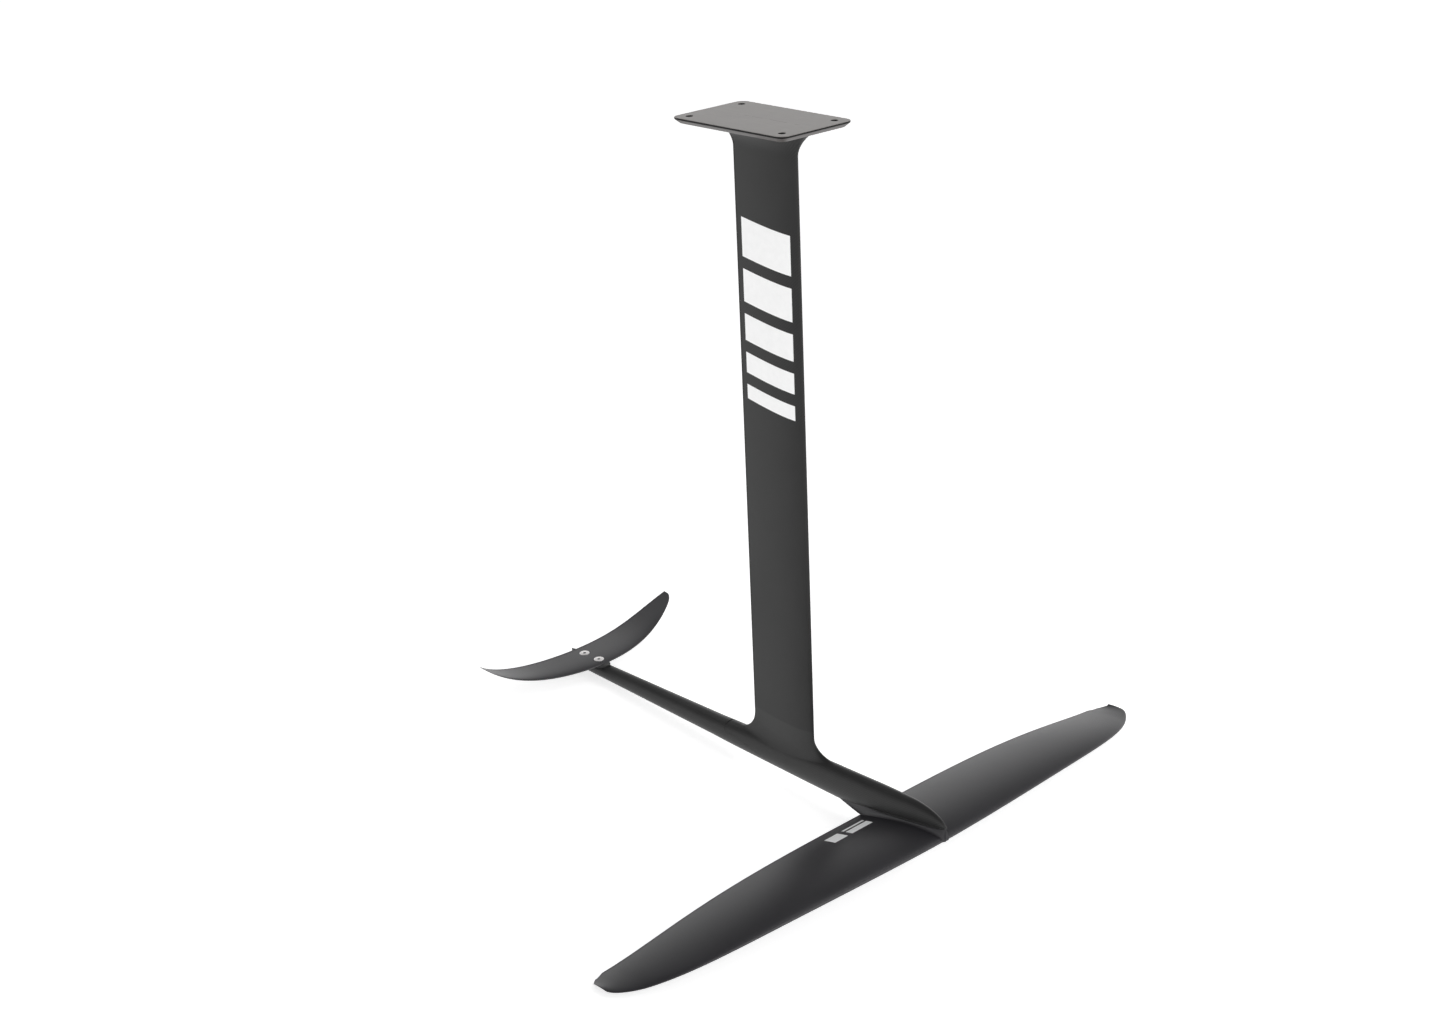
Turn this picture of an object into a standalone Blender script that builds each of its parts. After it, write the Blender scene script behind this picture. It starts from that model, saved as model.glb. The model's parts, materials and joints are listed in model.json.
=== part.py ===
"""Hydrofoil: mast with board plate and front fuselage, tail boom, front wing and stabiliser.

Metres, +Z up, +X forward, +Y to port.  The origin is the centre of the board plate's top face.
"""
import math

import bmesh
import bpy

# ---------------------------------------------------------------- driving dimensions
GAP = 0.0003              # joint line between neighbouring pieces
CORE_GAP = 0.0006         # bond line between a filler and the skins round it

# board plate
PLATE_REAR = -0.0993
PLATE_FRONT = 0.1002
PLATE_HALF_WIDTH = 0.0622
PLATE_CORNER = 0.012
PLATE_EDGE = 0.0024       # height of the square edge under the top face
PLATE_CHAMFER = 0.0055    # how far the sloping edge runs in below that
PLATE_DEPTH = 0.0080      # top face to the flat underside, where the mast starts
BOLT_PITCH_X = 0.165      # standard board bolt pattern
BOLT_PITCH_Y = 0.090
BOLT_HOLE_RADIUS = 0.0045

# mast
MAST_LEAD = 0.0622
MAST_TRAIL = -0.0525
MAST_HALF_THICK = 0.0075
MAST_SKIN = 0.0020
MAST_FLARE_DEPTH = 0.033  # height of the flare under the plate
MAST_FLARE_LEAD = 0.0245
MAST_FLARE_TRAIL = 0.032
MAST_FLARE_SIDE = 0.016
MAST_FOOT = -0.830        # where the skins end and the pylon of the fuselage starts
PYLON_BASE = -0.878
SPAR_REAR = -0.012
SPAR_FRONT = 0.030
SPAR_FOOT = -0.852
SPAR_SLOT_HALF_WIDTH = 0.0053
CORE_FRONT = 0.0490
CORE_REAR = -0.0300
MAST_EDGE_HALF = 0.0004   # half thickness left at the mast's two edges

# hollow fillets between the mast's foot and the fuselage: start height, height and reach
LEAD_FILLET = (-0.8400, 0.0255, 0.040)
TRAIL_FILLET = (-0.8375, 0.0300, 0.040)
SIDE_FILLET = (-0.8500, 0.018, 0.005)

# fuselage and tail boom: stations, then heights of the centre line and half sizes at them
NOSE = 0.301
TAIL_STATION = -0.345
NECK_STATION = -0.125     # from here forward the round boom deepens towards the mast
DEEP_STATION = 0.110      # from here forward it keeps its depth
TOP_CLOSES = 0.235        # where the nose's upper side starts to round down
SIDES_CLOSE = 0.180       # where its two sides start to close
TAIL_CENTRE = -0.8842
NECK_CENTRE = -0.8866
DEEP_CENTRE = -0.8885
NOSE_CENTRE = -0.8860
TAIL_RADIUS = 0.0117
NECK_RADIUS = 0.0157
DEEP_HALF_WIDTH = 0.0160
DEEP_DOWN = 0.0226
DEEP_UP = 0.0234
NOSE_UP = 0.0248
NOSE_UP_LENGTH = 0.080    # length over which the upper side rises to it
NOSE_BLUNTNESS = 0.6
SEAM_FRONT = 0.298        # front end of the face on the wing's pedestal
SEAM_FRONT_HEIGHT = -0.8865
SEAM_SLOPE = 0.05
SEAM_CURVE = 0.30
BOOM_SEAM_HEIGHT = -0.8815
BOOM_SEAM_BEND = -0.078
BOOM_SEAM_SLOPE = 0.25
FOOT_ROUND = 0.010        # length and height of the round end of the mast's foot
FOOT_ROUND_HEIGHT = 0.008
BELOW_ALL = -0.930        # cutters reach from here ...
ABOVE_BOOM = -0.840       # ... to here, and CUT_HALF_WIDTH to both sides
CUT_HALF_WIDTH = 0.05
FOOT_TIP = -0.104         # rear end of the mast's foot, lying on the boom
TONGUE_TIP = 0.008        # front end of the boom's tongue, under the mast's foot
BOOM_TAIL = -0.452
BOOM_WALL = 0.0025
WING_STEP = 0.118         # step in the fuselage behind the wing's pedestal

# front wing
WING_HALF_SPAN = 0.497
WING_THICKNESS = 0.12
WING_CAMBER = 0.030
WING_SKIN = 0.0014
WING_BLOCK_HALF = 0.024
PEDESTAL_FRONT = 0.3045
PEDESTAL_FLARE = 0.005    # how far its sides run out onto the wing

# stabiliser
STAB_HALF_SPAN = 0.1815
STAB_THICKNESS = 0.095
STAB_CAMBER = -0.010
STAB_SKIN = 0.0010
TIP_THINNING = 0.35       # share of a foil's thickness lost towards its tips
STAB_BLOCK_HALF = 0.014
SEAT_HEIGHT = -0.8796     # flat seat on the boom under the stabiliser
SHIM_THICKNESS = 0.0015
PAD_FRONT = -0.369
PAD_REAR = -0.457
PAD_HALF_WIDTH = 0.0115
PAD_NOSE = 0.45           # share of its length that the pad's round nose takes

# fasteners: M8 countersunk screws in threaded inserts
SCREW_RADIUS = 0.0038
HEAD_RADIUS = 0.0086
SOCKET_RADIUS = 0.0027
SOCKET_DEPTH = 0.0030
CLEARANCE_RADIUS = 0.0045
HEAD_CLEARANCE = 0.0004
INSERT_RADIUS = 0.0062
INSERT_BORE = 0.0041
BOOM_SCREWS = {"rear": -0.074, "middle": -0.044, "front": -0.014}
BOOM_SCREW_LENGTHS = {"rear": 0.025, "middle": 0.020, "front": 0.016}
WING_SCREWS = {"rear": 0.200, "middle": 0.229, "front": 0.258}
WING_SCREW_LENGTH = 0.030
STAB_SCREWS = {"rear": -0.4271, "front": -0.3935}
STAB_SCREW_LENGTH = 0.019

CARBON = (0.030, 0.030, 0.032, 1.0)
PLATE_GREY = (0.120, 0.112, 0.105, 1.0)
FOAM = (0.62, 0.56, 0.36, 1.0)
STEEL = (0.62, 0.60, 0.58, 1.0)
BRASS = (0.55, 0.42, 0.18, 1.0)
BLACK_PLASTIC = (0.015, 0.015, 0.016, 1.0)


# ---------------------------------------------------------------- scene set-up
for old in list(bpy.data.objects):
    bpy.data.objects.remove(old)

parts = bpy.data.collections.new("hydrofoil")
cutters = bpy.data.collections.new("cutters")
bpy.context.scene.collection.children.link(parts)
bpy.context.scene.collection.children.link(cutters)


def material(name, color, roughness, metallic=0.0):
    made = bpy.data.materials.new(name)
    made.use_nodes = True
    shader = made.node_tree.nodes["Principled BSDF"]
    shader.inputs["Base Color"].default_value = color
    shader.inputs["Roughness"].default_value = roughness
    shader.inputs["Metallic"].default_value = metallic
    return made


def empty(name, location):
    """A pivot that stands for one assembly; its pieces are parented to it."""
    pivot = bpy.data.objects.new(name, None)
    parts.objects.link(pivot)
    pivot.location = location
    return pivot


def finish(piece, name, look, parent):
    """Name a piece, give it its own material and hang it on its assembly's pivot."""
    piece.name = name
    piece.data.name = name
    piece.data.materials.clear()
    piece.data.materials.append(material(name, *look))
    piece.parent = parent
    piece.location = [a - b for a, b in zip(piece.location, parent.location)]
    return piece


def as_cutter(piece):
    piece.hide_render = True
    piece.display_type = "WIRE"
    return piece


# ---------------------------------------------------------------- shape helpers
def lerp(a, b, t):
    return a + (b - a) * t


def from_bmesh(mesh, name, collection, sharp_angle=math.radians(35)):
    bmesh.ops.recalc_face_normals(mesh, faces=mesh.faces)
    data = bpy.data.meshes.new(name)
    mesh.to_mesh(data)
    mesh.free()
    data.shade_smooth()
    data.set_sharp_from_angle(angle=sharp_angle)
    made = bpy.data.objects.new(name, data)
    collection.objects.link(made)
    return made


def loft(name, rings, collection=parts):
    """Closed skin through rings of points, all with the same count, capped at both ends."""
    mesh = bmesh.new()
    rows = [[mesh.verts.new(point) for point in ring] for ring in rings]
    count = len(rings[0])
    for row, above in zip(rows, rows[1:]):
        for i in range(count):
            j = (i + 1) % count
            mesh.faces.new((row[i], row[j], above[j], above[i]))
    mesh.faces.new(list(reversed(rows[0])))
    mesh.faces.new(rows[-1])
    return from_bmesh(mesh, name, collection)


def turned(name, profile, collection=parts, steps=16, closed=False):
    """Solid of revolution about Z: the profile runs down its outer side, top to bottom."""
    data = bpy.data.meshes.new(name)
    edges = [(i, i + 1) for i in range(len(profile) - 1)]
    if closed:
        edges.append((len(profile) - 1, 0))
    data.from_pydata([(radius, 0.0, z) for radius, z in profile], edges, [])
    made = bpy.data.objects.new(name, data)
    collection.objects.link(made)
    screw = made.modifiers.new("turn", "SCREW")
    screw.steps = steps
    screw.render_steps = steps
    screw.use_merge_vertices = True
    screw.merge_threshold = 0.00001
    return made


def outline(name, points, half_thickness, collection=parts):
    """Flat outline in XY with round corners already in its points, extruded both ways, as a mesh."""
    curve = bpy.data.curves.new(name, "CURVE")
    curve.dimensions = "2D"
    curve.fill_mode = "BOTH"
    curve.extrude = half_thickness
    spline = curve.splines.new("POLY")
    spline.points.add(len(points) - 1)
    for knot, (x, y) in zip(spline.points, points):
        knot.co = (x, y, 0.0, 1.0)
    spline.use_cyclic_u = True
    source = bpy.data.objects.new(name, curve)
    bpy.context.scene.collection.objects.link(source)
    bpy.context.view_layer.update()
    evaluated = source.evaluated_get(bpy.context.evaluated_depsgraph_get())
    data = bpy.data.meshes.new_from_object(evaluated)
    bpy.data.objects.remove(source)
    mesh = bmesh.new()
    mesh.from_mesh(data)
    bmesh.ops.remove_doubles(mesh, verts=mesh.verts, dist=0.00001)
    bpy.data.meshes.remove(data)
    return from_bmesh(mesh, name, collection)


def side_outline(name, points, half_width, collection=cutters):
    """Outline in the XZ plane, extruded to both sides of the centre plane."""
    made = outline(name, points, half_width, collection)
    made.rotation_euler = (math.radians(90), 0.0, 0.0)
    return made


def box(name, low, high, collection=parts):
    mesh = bmesh.new()
    bmesh.ops.create_cube(mesh, size=1.0)
    size = [b - a for a, b in zip(low, high)]
    bmesh.ops.scale(mesh, vec=size, verts=mesh.verts)
    made = from_bmesh(mesh, name, collection)
    made.location = [(a + b) / 2 for a, b in zip(low, high)]
    return made


def rod(name, radius, low, high, x, sides=16, y=0.0):
    """Vertical cutter for a bore, from height low to height high."""
    mesh = bmesh.new()
    bmesh.ops.create_cone(
        mesh, cap_ends=True, segments=sides, radius1=radius, radius2=radius, depth=high - low
    )
    made = from_bmesh(mesh, name, cutters)
    made.location = (x, y, (low + high) / 2)
    return as_cutter(made)


def modify(piece, cutter, operation="DIFFERENCE"):
    as_cutter(cutter)
    boolean = piece.modifiers.new(cutter.name, "BOOLEAN")
    boolean.operation = operation
    boolean.solver = "EXACT"
    boolean.object = cutter
    return piece


def cosine_steps(count):
    """Fractions 0 to 1, close together at both ends."""
    return [0.5 - 0.5 * math.cos(math.pi * i / count) for i in range(count + 1)]


def foil_half(fraction, thickness):
    """Half thickness of a four-digit foil section, as a fraction of its chord."""
    root = 0.2969 * math.sqrt(fraction)
    rest = fraction * (-0.1260 + fraction * (-0.3516 + fraction * (0.2843 - 0.1036 * fraction)))
    return 5.0 * thickness * (root + rest)


# ---------------------------------------------------------------- fuselage form
def fuselage_section(x):
    """Centre height, half width, height above and depth below the centre at station x."""
    if x <= NECK_STATION:
        t = (x - NECK_STATION) / (TAIL_STATION - NECK_STATION)
        radius = lerp(NECK_RADIUS, TAIL_RADIUS, t)
        return lerp(NECK_CENTRE, TAIL_CENTRE, t), radius, radius, radius
    if x <= DEEP_STATION:
        t = (x - NECK_STATION) / (DEEP_STATION - NECK_STATION)
        down = lerp(NECK_RADIUS, DEEP_DOWN, t ** 0.7)
        up = down + (DEEP_UP - DEEP_DOWN) * t
        return lerp(NECK_CENTRE, DEEP_CENTRE, t), lerp(NECK_RADIUS, DEEP_HALF_WIDTH, t), up, down
    tip = NOSE + 0.0005
    top = max(0.0, (x - TOP_CLOSES) / (tip - TOP_CLOSES))
    side = max(0.0, (x - SIDES_CLOSE) / (tip - SIDES_CLOSE))
    up = lerp(DEEP_UP, NOSE_UP, min(1.0, (x - DEEP_STATION) / NOSE_UP_LENGTH))
    up *= (1 - top * top) ** NOSE_BLUNTNESS
    width = DEEP_HALF_WIDTH * (1 - side * side) ** NOSE_BLUNTNESS
    return lerp(DEEP_CENTRE, NOSE_CENTRE, side ** 4), width, up, DEEP_DOWN


def fuselage_ring(x, sides=20, shrink=0.0):
    centre, width, up, down = fuselage_section(x)
    ring = []
    for i in range(sides):
        angle = 2 * math.pi * i / sides
        height = up if math.sin(angle) >= 0 else down
        y = (width - shrink) * math.cos(angle)
        ring.append((x, y, centre + (height - shrink) * math.sin(angle)))
    return ring


def wing_seam(x):
    """Height of the face between the fuselage and the wing's pedestal."""
    back = SEAM_FRONT - x
    return SEAM_FRONT_HEIGHT - SEAM_SLOPE * back - SEAM_CURVE * back * back


def boom_seam(x):
    """Height of the joint between the mast's foot and the boom's tongue."""
    return BOOM_SEAM_HEIGHT - BOOM_SEAM_SLOPE * max(0.0, x - BOOM_SEAM_BEND)


# ---------------------------------------------------------------- plate and mast
def rounded_rectangle(rear, front, half, corner, arc_steps=4):
    points = []
    for cx, cy, start in (
        (front - corner, half - corner, 0.0),
        (rear + corner, half - corner, 90.0),
        (rear + corner, corner - half, 180.0),
        (front - corner, corner - half, 270.0),
    ):
        for i in range(arc_steps + 1):
            angle = math.radians(start + 90.0 * i / arc_steps)
            points.append((cx + corner * math.cos(angle), cy + corner * math.sin(angle)))
    return points


def plate_ring(z, inset):
    """Plate outline at height z, drawn in by inset all round."""
    corners = rounded_rectangle(
        PLATE_REAR + inset, PLATE_FRONT - inset, PLATE_HALF_WIDTH - inset, PLATE_CORNER - inset / 2
    )
    return [(x, y, z) for x, y in corners]


def mast_section(x_fraction, z):
    """Station and half thickness of the mast at a fraction of its chord and height z."""
    flare = max(0.0, 1.0 + (z + PLATE_DEPTH) / MAST_FLARE_DEPTH) ** 2
    lead = MAST_LEAD + MAST_FLARE_LEAD * flare
    trail = MAST_TRAIL - MAST_FLARE_TRAIL * flare
    half = MAST_HALF_THICK + MAST_FLARE_SIDE * flare
    foil = foil_half(x_fraction, 1.0) / 0.5
    oval = math.sqrt(max(0.0, 1.0 - (2.0 * x_fraction - 1.0) ** 2))
    return lerp(lead, trail, x_fraction), max(MAST_EDGE_HALF, half * lerp(foil, oval, flare))


def mast_levels():
    flare = [MAST_FLARE_DEPTH * (1 - i / 6) for i in range(7)]
    return [MAST_FOOT + GAP, -0.45] + [-PLATE_DEPTH - GAP - depth for depth in flare]


def mast_skin(name, side):
    rings = []
    steps = cosine_steps(9)
    for z in mast_levels():
        outer = [mast_section(f, z) for f in steps]
        seam = GAP / 2
        ring = [(x, side * max(y, seam + 0.0003), z) for x, y in outer]
        ring += [(x, side * max(y - MAST_SKIN, seam), z) for x, y in reversed(outer)]
        rings.append(ring)
    return loft(name, rings)


def mast_filler(name, rear, front, foot=MAST_FOOT + GAP):
    """Solid filler between the skins, from chord position rear to front."""
    rings = []
    for z in (foot, -PLATE_DEPTH - 0.004):
        stations = [lerp(rear, front, i / 4) for i in range(5)]
        half = []
        for x in stations:
            fraction = (MAST_LEAD - x) / (MAST_LEAD - MAST_TRAIL)
            half.append(mast_section(fraction, MAST_FOOT)[1] - MAST_SKIN - CORE_GAP)
        ring = [(x, h, z) for x, h in zip(stations, half)]
        ring += [(x, -h, z) for x, h in reversed(list(zip(stations, half)))]
        rings.append(ring)
    return loft(name, rings)


def build_plate(parent):
    rings = [plate_ring(-PLATE_DEPTH, PLATE_CHAMFER), plate_ring(-PLATE_EDGE, 0.0), plate_ring(0.0, 0.0)]
    plate = loft("mounting_plate", rings)
    for x in (-BOLT_PITCH_X / 2, BOLT_PITCH_X / 2):
        for y in (-BOLT_PITCH_Y / 2, BOLT_PITCH_Y / 2):
            modify(plate, rod("bolt_hole", BOLT_HOLE_RADIUS, -0.020, 0.010, x, y=y))
    return finish(plate, "mounting_plate", (PLATE_GREY, 0.35), parent)


def build_mast(parent):
    carbon = (CARBON, 0.45)
    finish(mast_skin("skin", 1), "mast_skin_port", carbon, parent)
    finish(mast_skin("skin", -1), "mast_skin_starboard", carbon, parent)
    spar = mast_filler("spar", SPAR_REAR, SPAR_FRONT, SPAR_FOOT)
    finish(spar, "mast_spar", carbon, parent)
    foam = (FOAM, 0.9)
    front = mast_filler("core", SPAR_FRONT + GAP, CORE_FRONT)
    finish(front, "mast_core_front", foam, parent)
    rear = mast_filler("core", CORE_REAR, SPAR_REAR - GAP)
    finish(rear, "mast_core_rear", foam, parent)


# ---------------------------------------------------------------- front fuselage
def fillet(z, start, height, reach):
    """How far a hollow quarter-oval fillet has run out at height z."""
    fraction = min(0.999, max(0.0, (start - z) / height))
    return reach * (1 - math.sqrt(1 - fraction ** 2))


def pylon():
    """Foot of the mast, flaring out into the fuselage."""
    rings = []
    steps = cosine_steps(9)
    levels = [-0.838, -0.845, -0.850, -0.854, -0.8575, -0.8605, -0.8625, -0.864, -0.865, -0.8665]
    for z in [MAST_FOOT] + levels + [PYLON_BASE]:
        ring = []
        lead = MAST_LEAD + fillet(z, *LEAD_FILLET)
        trail = MAST_TRAIL - fillet(z, *TRAIL_FILLET)
        widen = fillet(z, *SIDE_FILLET)
        for fraction in steps:
            half = mast_section(fraction, MAST_FOOT)[1]
            ring.append((lerp(lead, trail, fraction), half + widen * min(1.0, half / 0.004), z))
        mirrored = [(x, -y, z) for x, y, z in reversed(ring)]
        rings.append(ring + mirrored)
    return loft("pylon", rings, cutters)


def insert_bore(piece, name, x, low, high):
    return modify(piece, rod(name, INSERT_RADIUS + GAP, low, high, x, sides=12))


def foot_outline(drop, front):
    """Underside of the mast's foot from its round rear end to the station front, lowered by drop."""
    points = []
    for i in range(5):
        angle = math.radians(180 + 90 * i / 4)
        x = FOOT_TIP - drop + FOOT_ROUND * (1 + math.cos(angle))
        points.append((x, boom_seam(FOOT_TIP) - drop + FOOT_ROUND_HEIGHT * (1 + math.sin(angle))))
    return points + [(x, boom_seam(x) - drop) for x in (BOOM_SEAM_BEND, -0.040, front)]


def build_front_fuselage(parent):
    stations = [FOOT_TIP, -0.090, -0.060, -0.030, 0.0, 0.040, 0.080, 0.118, 0.150, 0.180, 0.210]
    stations += [0.235, 0.252, 0.266, 0.278, 0.287, 0.294, 0.299, NOSE]
    body = loft("front_fuselage", [fuselage_ring(x) for x in stations])
    modify(body, pylon(), "UNION")

    past_nose = NOSE + 0.009
    seam_xs = [WING_STEP + 0.030 * i for i in range(7)] + [past_nose]
    under_wing = [(x, wing_seam(x)) for x in seam_xs]
    under_wing += [(past_nose, BELOW_ALL), (WING_STEP, BELOW_ALL)]
    modify(body, side_outline("wing_face", under_wing, CUT_HALF_WIDTH))

    behind = FOOT_TIP - 0.020
    over_boom = [(behind, BELOW_ALL), (behind, ABOVE_BOOM), (FOOT_TIP - 0.002, ABOVE_BOOM)]
    over_boom.append((FOOT_TIP + 0.002, boom_seam(FOOT_TIP) + 0.013))
    over_boom += foot_outline(0.0, TONGUE_TIP)
    over_boom.append((TONGUE_TIP, BELOW_ALL))
    modify(body, side_outline("boom_face", over_boom, CUT_HALF_WIDTH))

    for place, x in WING_SCREWS.items():
        insert_bore(body, "wing_bore_" + place, x, wing_seam(x) - 0.02, wing_seam(x) + 0.0175)
    for place, x in BOOM_SCREWS.items():
        insert_bore(body, "boom_bore_" + place, x, boom_seam(x) - 0.02, boom_seam(x) + 0.0095)
    slot = box(
        "spar_slot",
        (SPAR_REAR - GAP, -SPAR_SLOT_HALF_WIDTH, SPAR_FOOT - GAP),
        (SPAR_FRONT + GAP, SPAR_SLOT_HALF_WIDTH, MAST_FOOT + 0.010),
        cutters,
    )
    modify(body, slot)
    finish(body, "front_fuselage", (CARBON, 0.45), parent)


# ---------------------------------------------------------------- fasteners
def countersunk_screw(name, x, head, length, up, parent):
    """M8 countersunk screw with a hexagon socket; up is +1 where the head faces upwards."""
    cone = HEAD_RADIUS - SCREW_RADIUS
    profile = [
        (0.0, 0.0),
        (HEAD_RADIUS - 0.0003, 0.0),
        (HEAD_RADIUS, -0.0004),
        (SCREW_RADIUS, -0.0004 - cone),
        (SCREW_RADIUS, -length + 0.001),
        (SCREW_RADIUS - 0.0009, -length),
        (0.0, -length),
    ]
    screw = turned(name, profile)
    mesh = bmesh.new()
    bmesh.ops.create_cone(
        mesh, cap_ends=True, segments=6, radius1=SOCKET_RADIUS, radius2=SOCKET_RADIUS,
        depth=2 * SOCKET_DEPTH,
    )
    socket = from_bmesh(mesh, "socket_" + name, cutters)
    modify(screw, socket)
    for piece in (screw, socket):
        piece.rotation_euler = (0.0 if up > 0 else math.pi, 0.0, 0.0)
        piece.location = (x, 0.0, head)
    return finish(screw, name, (STEEL, 0.3, 1.0), parent)


def screw_hole(piece, name, x, head, up):
    """Clearance hole through a piece, with the countersink for the head."""
    wide = HEAD_RADIUS + HEAD_CLEARANCE
    profile = [
        (0.0, 0.02),
        (wide, 0.02),
        (wide, -0.0004),
        (CLEARANCE_RADIUS, -0.0004 - (wide - CLEARANCE_RADIUS)),
        (CLEARANCE_RADIUS, -0.06),
        (0.0, -0.06),
    ]
    cutter = turned(name, profile, cutters)
    cutter.location = (x, 0.0, head)
    cutter.rotation_euler = (0.0 if up > 0 else math.pi, 0.0, 0.0)
    return modify(piece, cutter)


def threaded_insert(name, x, mouth, depth, parent):
    """Bush with a threaded bore, its mouth at height mouth and its body going to mouth + depth."""
    low = min(mouth, mouth + depth)
    high = max(mouth, mouth + depth)
    profile = [(INSERT_BORE, high), (INSERT_RADIUS, high), (INSERT_RADIUS, low), (INSERT_BORE, low)]
    bush = turned(name, profile, steps=12, closed=True)
    bush.location = (x, 0.0, 0.0)
    return finish(bush, name, (BRASS, 0.35, 1.0), parent)


# ---------------------------------------------------------------- tail boom
def build_boom(parent):
    stations = [BOOM_TAIL, -0.449, -0.440, -0.400, -0.345, -0.270, -0.200, -0.125, -0.090]
    stations += [-0.060, -0.030, TONGUE_TIP - 2 * GAP]
    hull = [fuselage_ring(x, 16) for x in stations]
    tail_centre = fuselage_section(BOOM_TAIL)[0]
    hull[0] = [(x, y * 0.55, tail_centre + (z - tail_centre) * 0.55) for x, y, z in hull[0]]

    cavity_xs = (-0.355, -0.270, -0.200, -0.135)
    cavity = loft("boom_cavity", [fuselage_ring(x, 16, BOOM_WALL) for x in cavity_xs], cutters)
    core_ends = [(-0.355 + GAP), -0.270, -0.200, (-0.135 - GAP)]

    past_tongue = TONGUE_TIP + 0.012
    recess = [(FOOT_TIP - GAP, ABOVE_BOOM), (FOOT_TIP - GAP, boom_seam(FOOT_TIP) - GAP + 0.010)]
    recess += foot_outline(GAP, 0.010)
    recess += [(past_tongue, boom_seam(0.010) - GAP), (past_tongue, ABOVE_BOOM)]
    foot_recess = as_cutter(side_outline("foot_recess", recess, CUT_HALF_WIDTH))
    seat = outline("seat_cut", seat_outline(), 0.015, cutters)
    seat.location = (0.0, 0.0, SEAT_HEIGHT + 0.015)

    for name, side in (("tail_boom_port", 1), ("tail_boom_starboard", -1)):
        half = loft(name, hull)
        far = -side * CUT_HALF_WIDTH
        near = side * GAP / 2
        split = box(
            "split_" + name,
            (BOOM_TAIL - 0.05, min(far, near), BELOW_ALL),
            (past_tongue + 0.03, max(far, near), ABOVE_BOOM),
            cutters,
        )
        modify(half, split)
        modify(half, cavity)
        modify(half, foot_recess)
        modify(half, seat)
        for place, x in BOOM_SCREWS.items():
            screw_hole(half, "boom_hole_%s_%s" % (place, name), x, boom_head(x), -1)
        for place, x in STAB_SCREWS.items():
            insert_bore(half, "stab_bore_%s_%s" % (place, name), x, SEAT_HEIGHT - 0.0105, SEAT_HEIGHT + 0.01)
        finish(half, name, (CARBON, 0.45), parent)
    core = loft("core", [fuselage_ring(x, 16, BOOM_WALL + GAP) for x in core_ends])
    finish(core, "tail_boom_core", (FOAM, 0.9), parent)


def seat_outline():
    """Outline of the seat cut into the boom: it follows the pad's round nose, then runs out aft."""
    full = lerp(PAD_FRONT, PAD_REAR, PAD_NOSE)
    reach = PAD_FRONT - full + 2 * GAP
    half = PAD_HALF_WIDTH + 0.0010
    points = [(PAD_REAR - 0.02, -half)]
    for i in range(-6, 7):
        angle = math.radians(15 * i)
        points.append((full + reach * math.cos(angle), half * math.sin(angle)))
    return points + [(PAD_REAR - 0.02, half)]


def boom_head(x):
    """Height of a boom screw's head, just inside the round underside."""
    centre, _, _, down = fuselage_section(x)
    return centre - down + 0.0030


# ---------------------------------------------------------------- wings
def tip_closing(s, sharpness):
    """Rounding of an edge at the tip, from 0 to 1; a high sharpness keeps it to the very end."""
    return 1.0 - math.sqrt(max(0.0, 1.0 - s ** sharpness))


def wing_edges(s):
    """Leading and trailing edge of the front wing at span fraction s: x, z each."""
    lead_x = 0.3004 - 0.0484 * s ** 1.75 - 0.0420 * s ** 9
    trail_x = 0.1639 - 0.0085 * s ** 2 + 0.0361 * s ** 4 - 0.0373 * s ** 8
    lead_z = -0.9026 - 0.0165 * s ** 2 - 0.0200 * s ** 4
    trail_z = -0.9112 - 0.0130 * s ** 2 - 0.0240 * s ** 4
    lead_cut = 0.0070 * tip_closing(s, 100)
    trail_cut = 0.0235 * min(1.0, max(0.0, (s - 0.940) / 0.056)) ** 2
    tip = max(0.0, (s - 0.92) / 0.08)
    lead_z += 0.0047 * tip ** 1.8
    trail_z += 0.0130 * tip ** 3.5
    return lead_x - lead_cut, lead_z, trail_x + trail_cut, trail_z


def stab_edges(s):
    """Leading and trailing edge of the stabiliser at span fraction s: x, z each."""
    lead_x = -0.3793 - 0.072 * s ** 2 + 0.029 * s ** 4 - 0.007 * s ** 8 - 0.012 * tip_closing(s, 36)
    trail_x = -0.4490 - 0.046 * s ** 2 + 0.043 * s ** 4 + 0.006 * s ** 8
    rise = 0.0385 * s ** 4 - 0.0012 * s ** 2
    return lead_x, rise - 0.8715, trail_x, rise - 0.8705


WING = {
    "edges": wing_edges, "half_span": WING_HALF_SPAN, "thickness": WING_THICKNESS,
    "camber": WING_CAMBER, "skin": WING_SKIN, "steps": 10,
    "spans": (0.0, 0.12, 0.25, 0.38, 0.52, 0.66, 0.77, 0.85, 0.91, 0.942, 0.962, 0.977, 0.988, 0.996, 1.0),
    "core": (0.16, 0.70), "core_tip": 0.83, "block": WING_BLOCK_HALF, "block_chord": (0.10, 0.85),
}
STAB = {
    "edges": stab_edges, "half_span": STAB_HALF_SPAN, "thickness": STAB_THICKNESS,
    "camber": STAB_CAMBER, "skin": STAB_SKIN, "steps": 9,
    "spans": (0.0, 0.15, 0.32, 0.50, 0.65, 0.78, 0.88, 0.95, 0.985, 1.0),
    "core": (0.20, 0.70), "core_tip": 0.60, "block": STAB_BLOCK_HALF, "block_chord": (0.12, 0.76),
}


def wing_point(wing, s, fraction):
    """x, height of the mean line and half thickness at span and chord fractions."""
    lead_x, lead_z, trail_x, trail_z = wing["edges"](abs(s))
    chord = lead_x - trail_x
    mean = lerp(lead_z, trail_z, fraction) + 4 * wing["camber"] * chord * fraction * (1 - fraction)
    half = foil_half(fraction, wing["thickness"]) * chord * (1.0 - TIP_THINNING * s ** 6)
    return lerp(lead_x, trail_x, fraction), mean, max(half, 0.0004)


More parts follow.
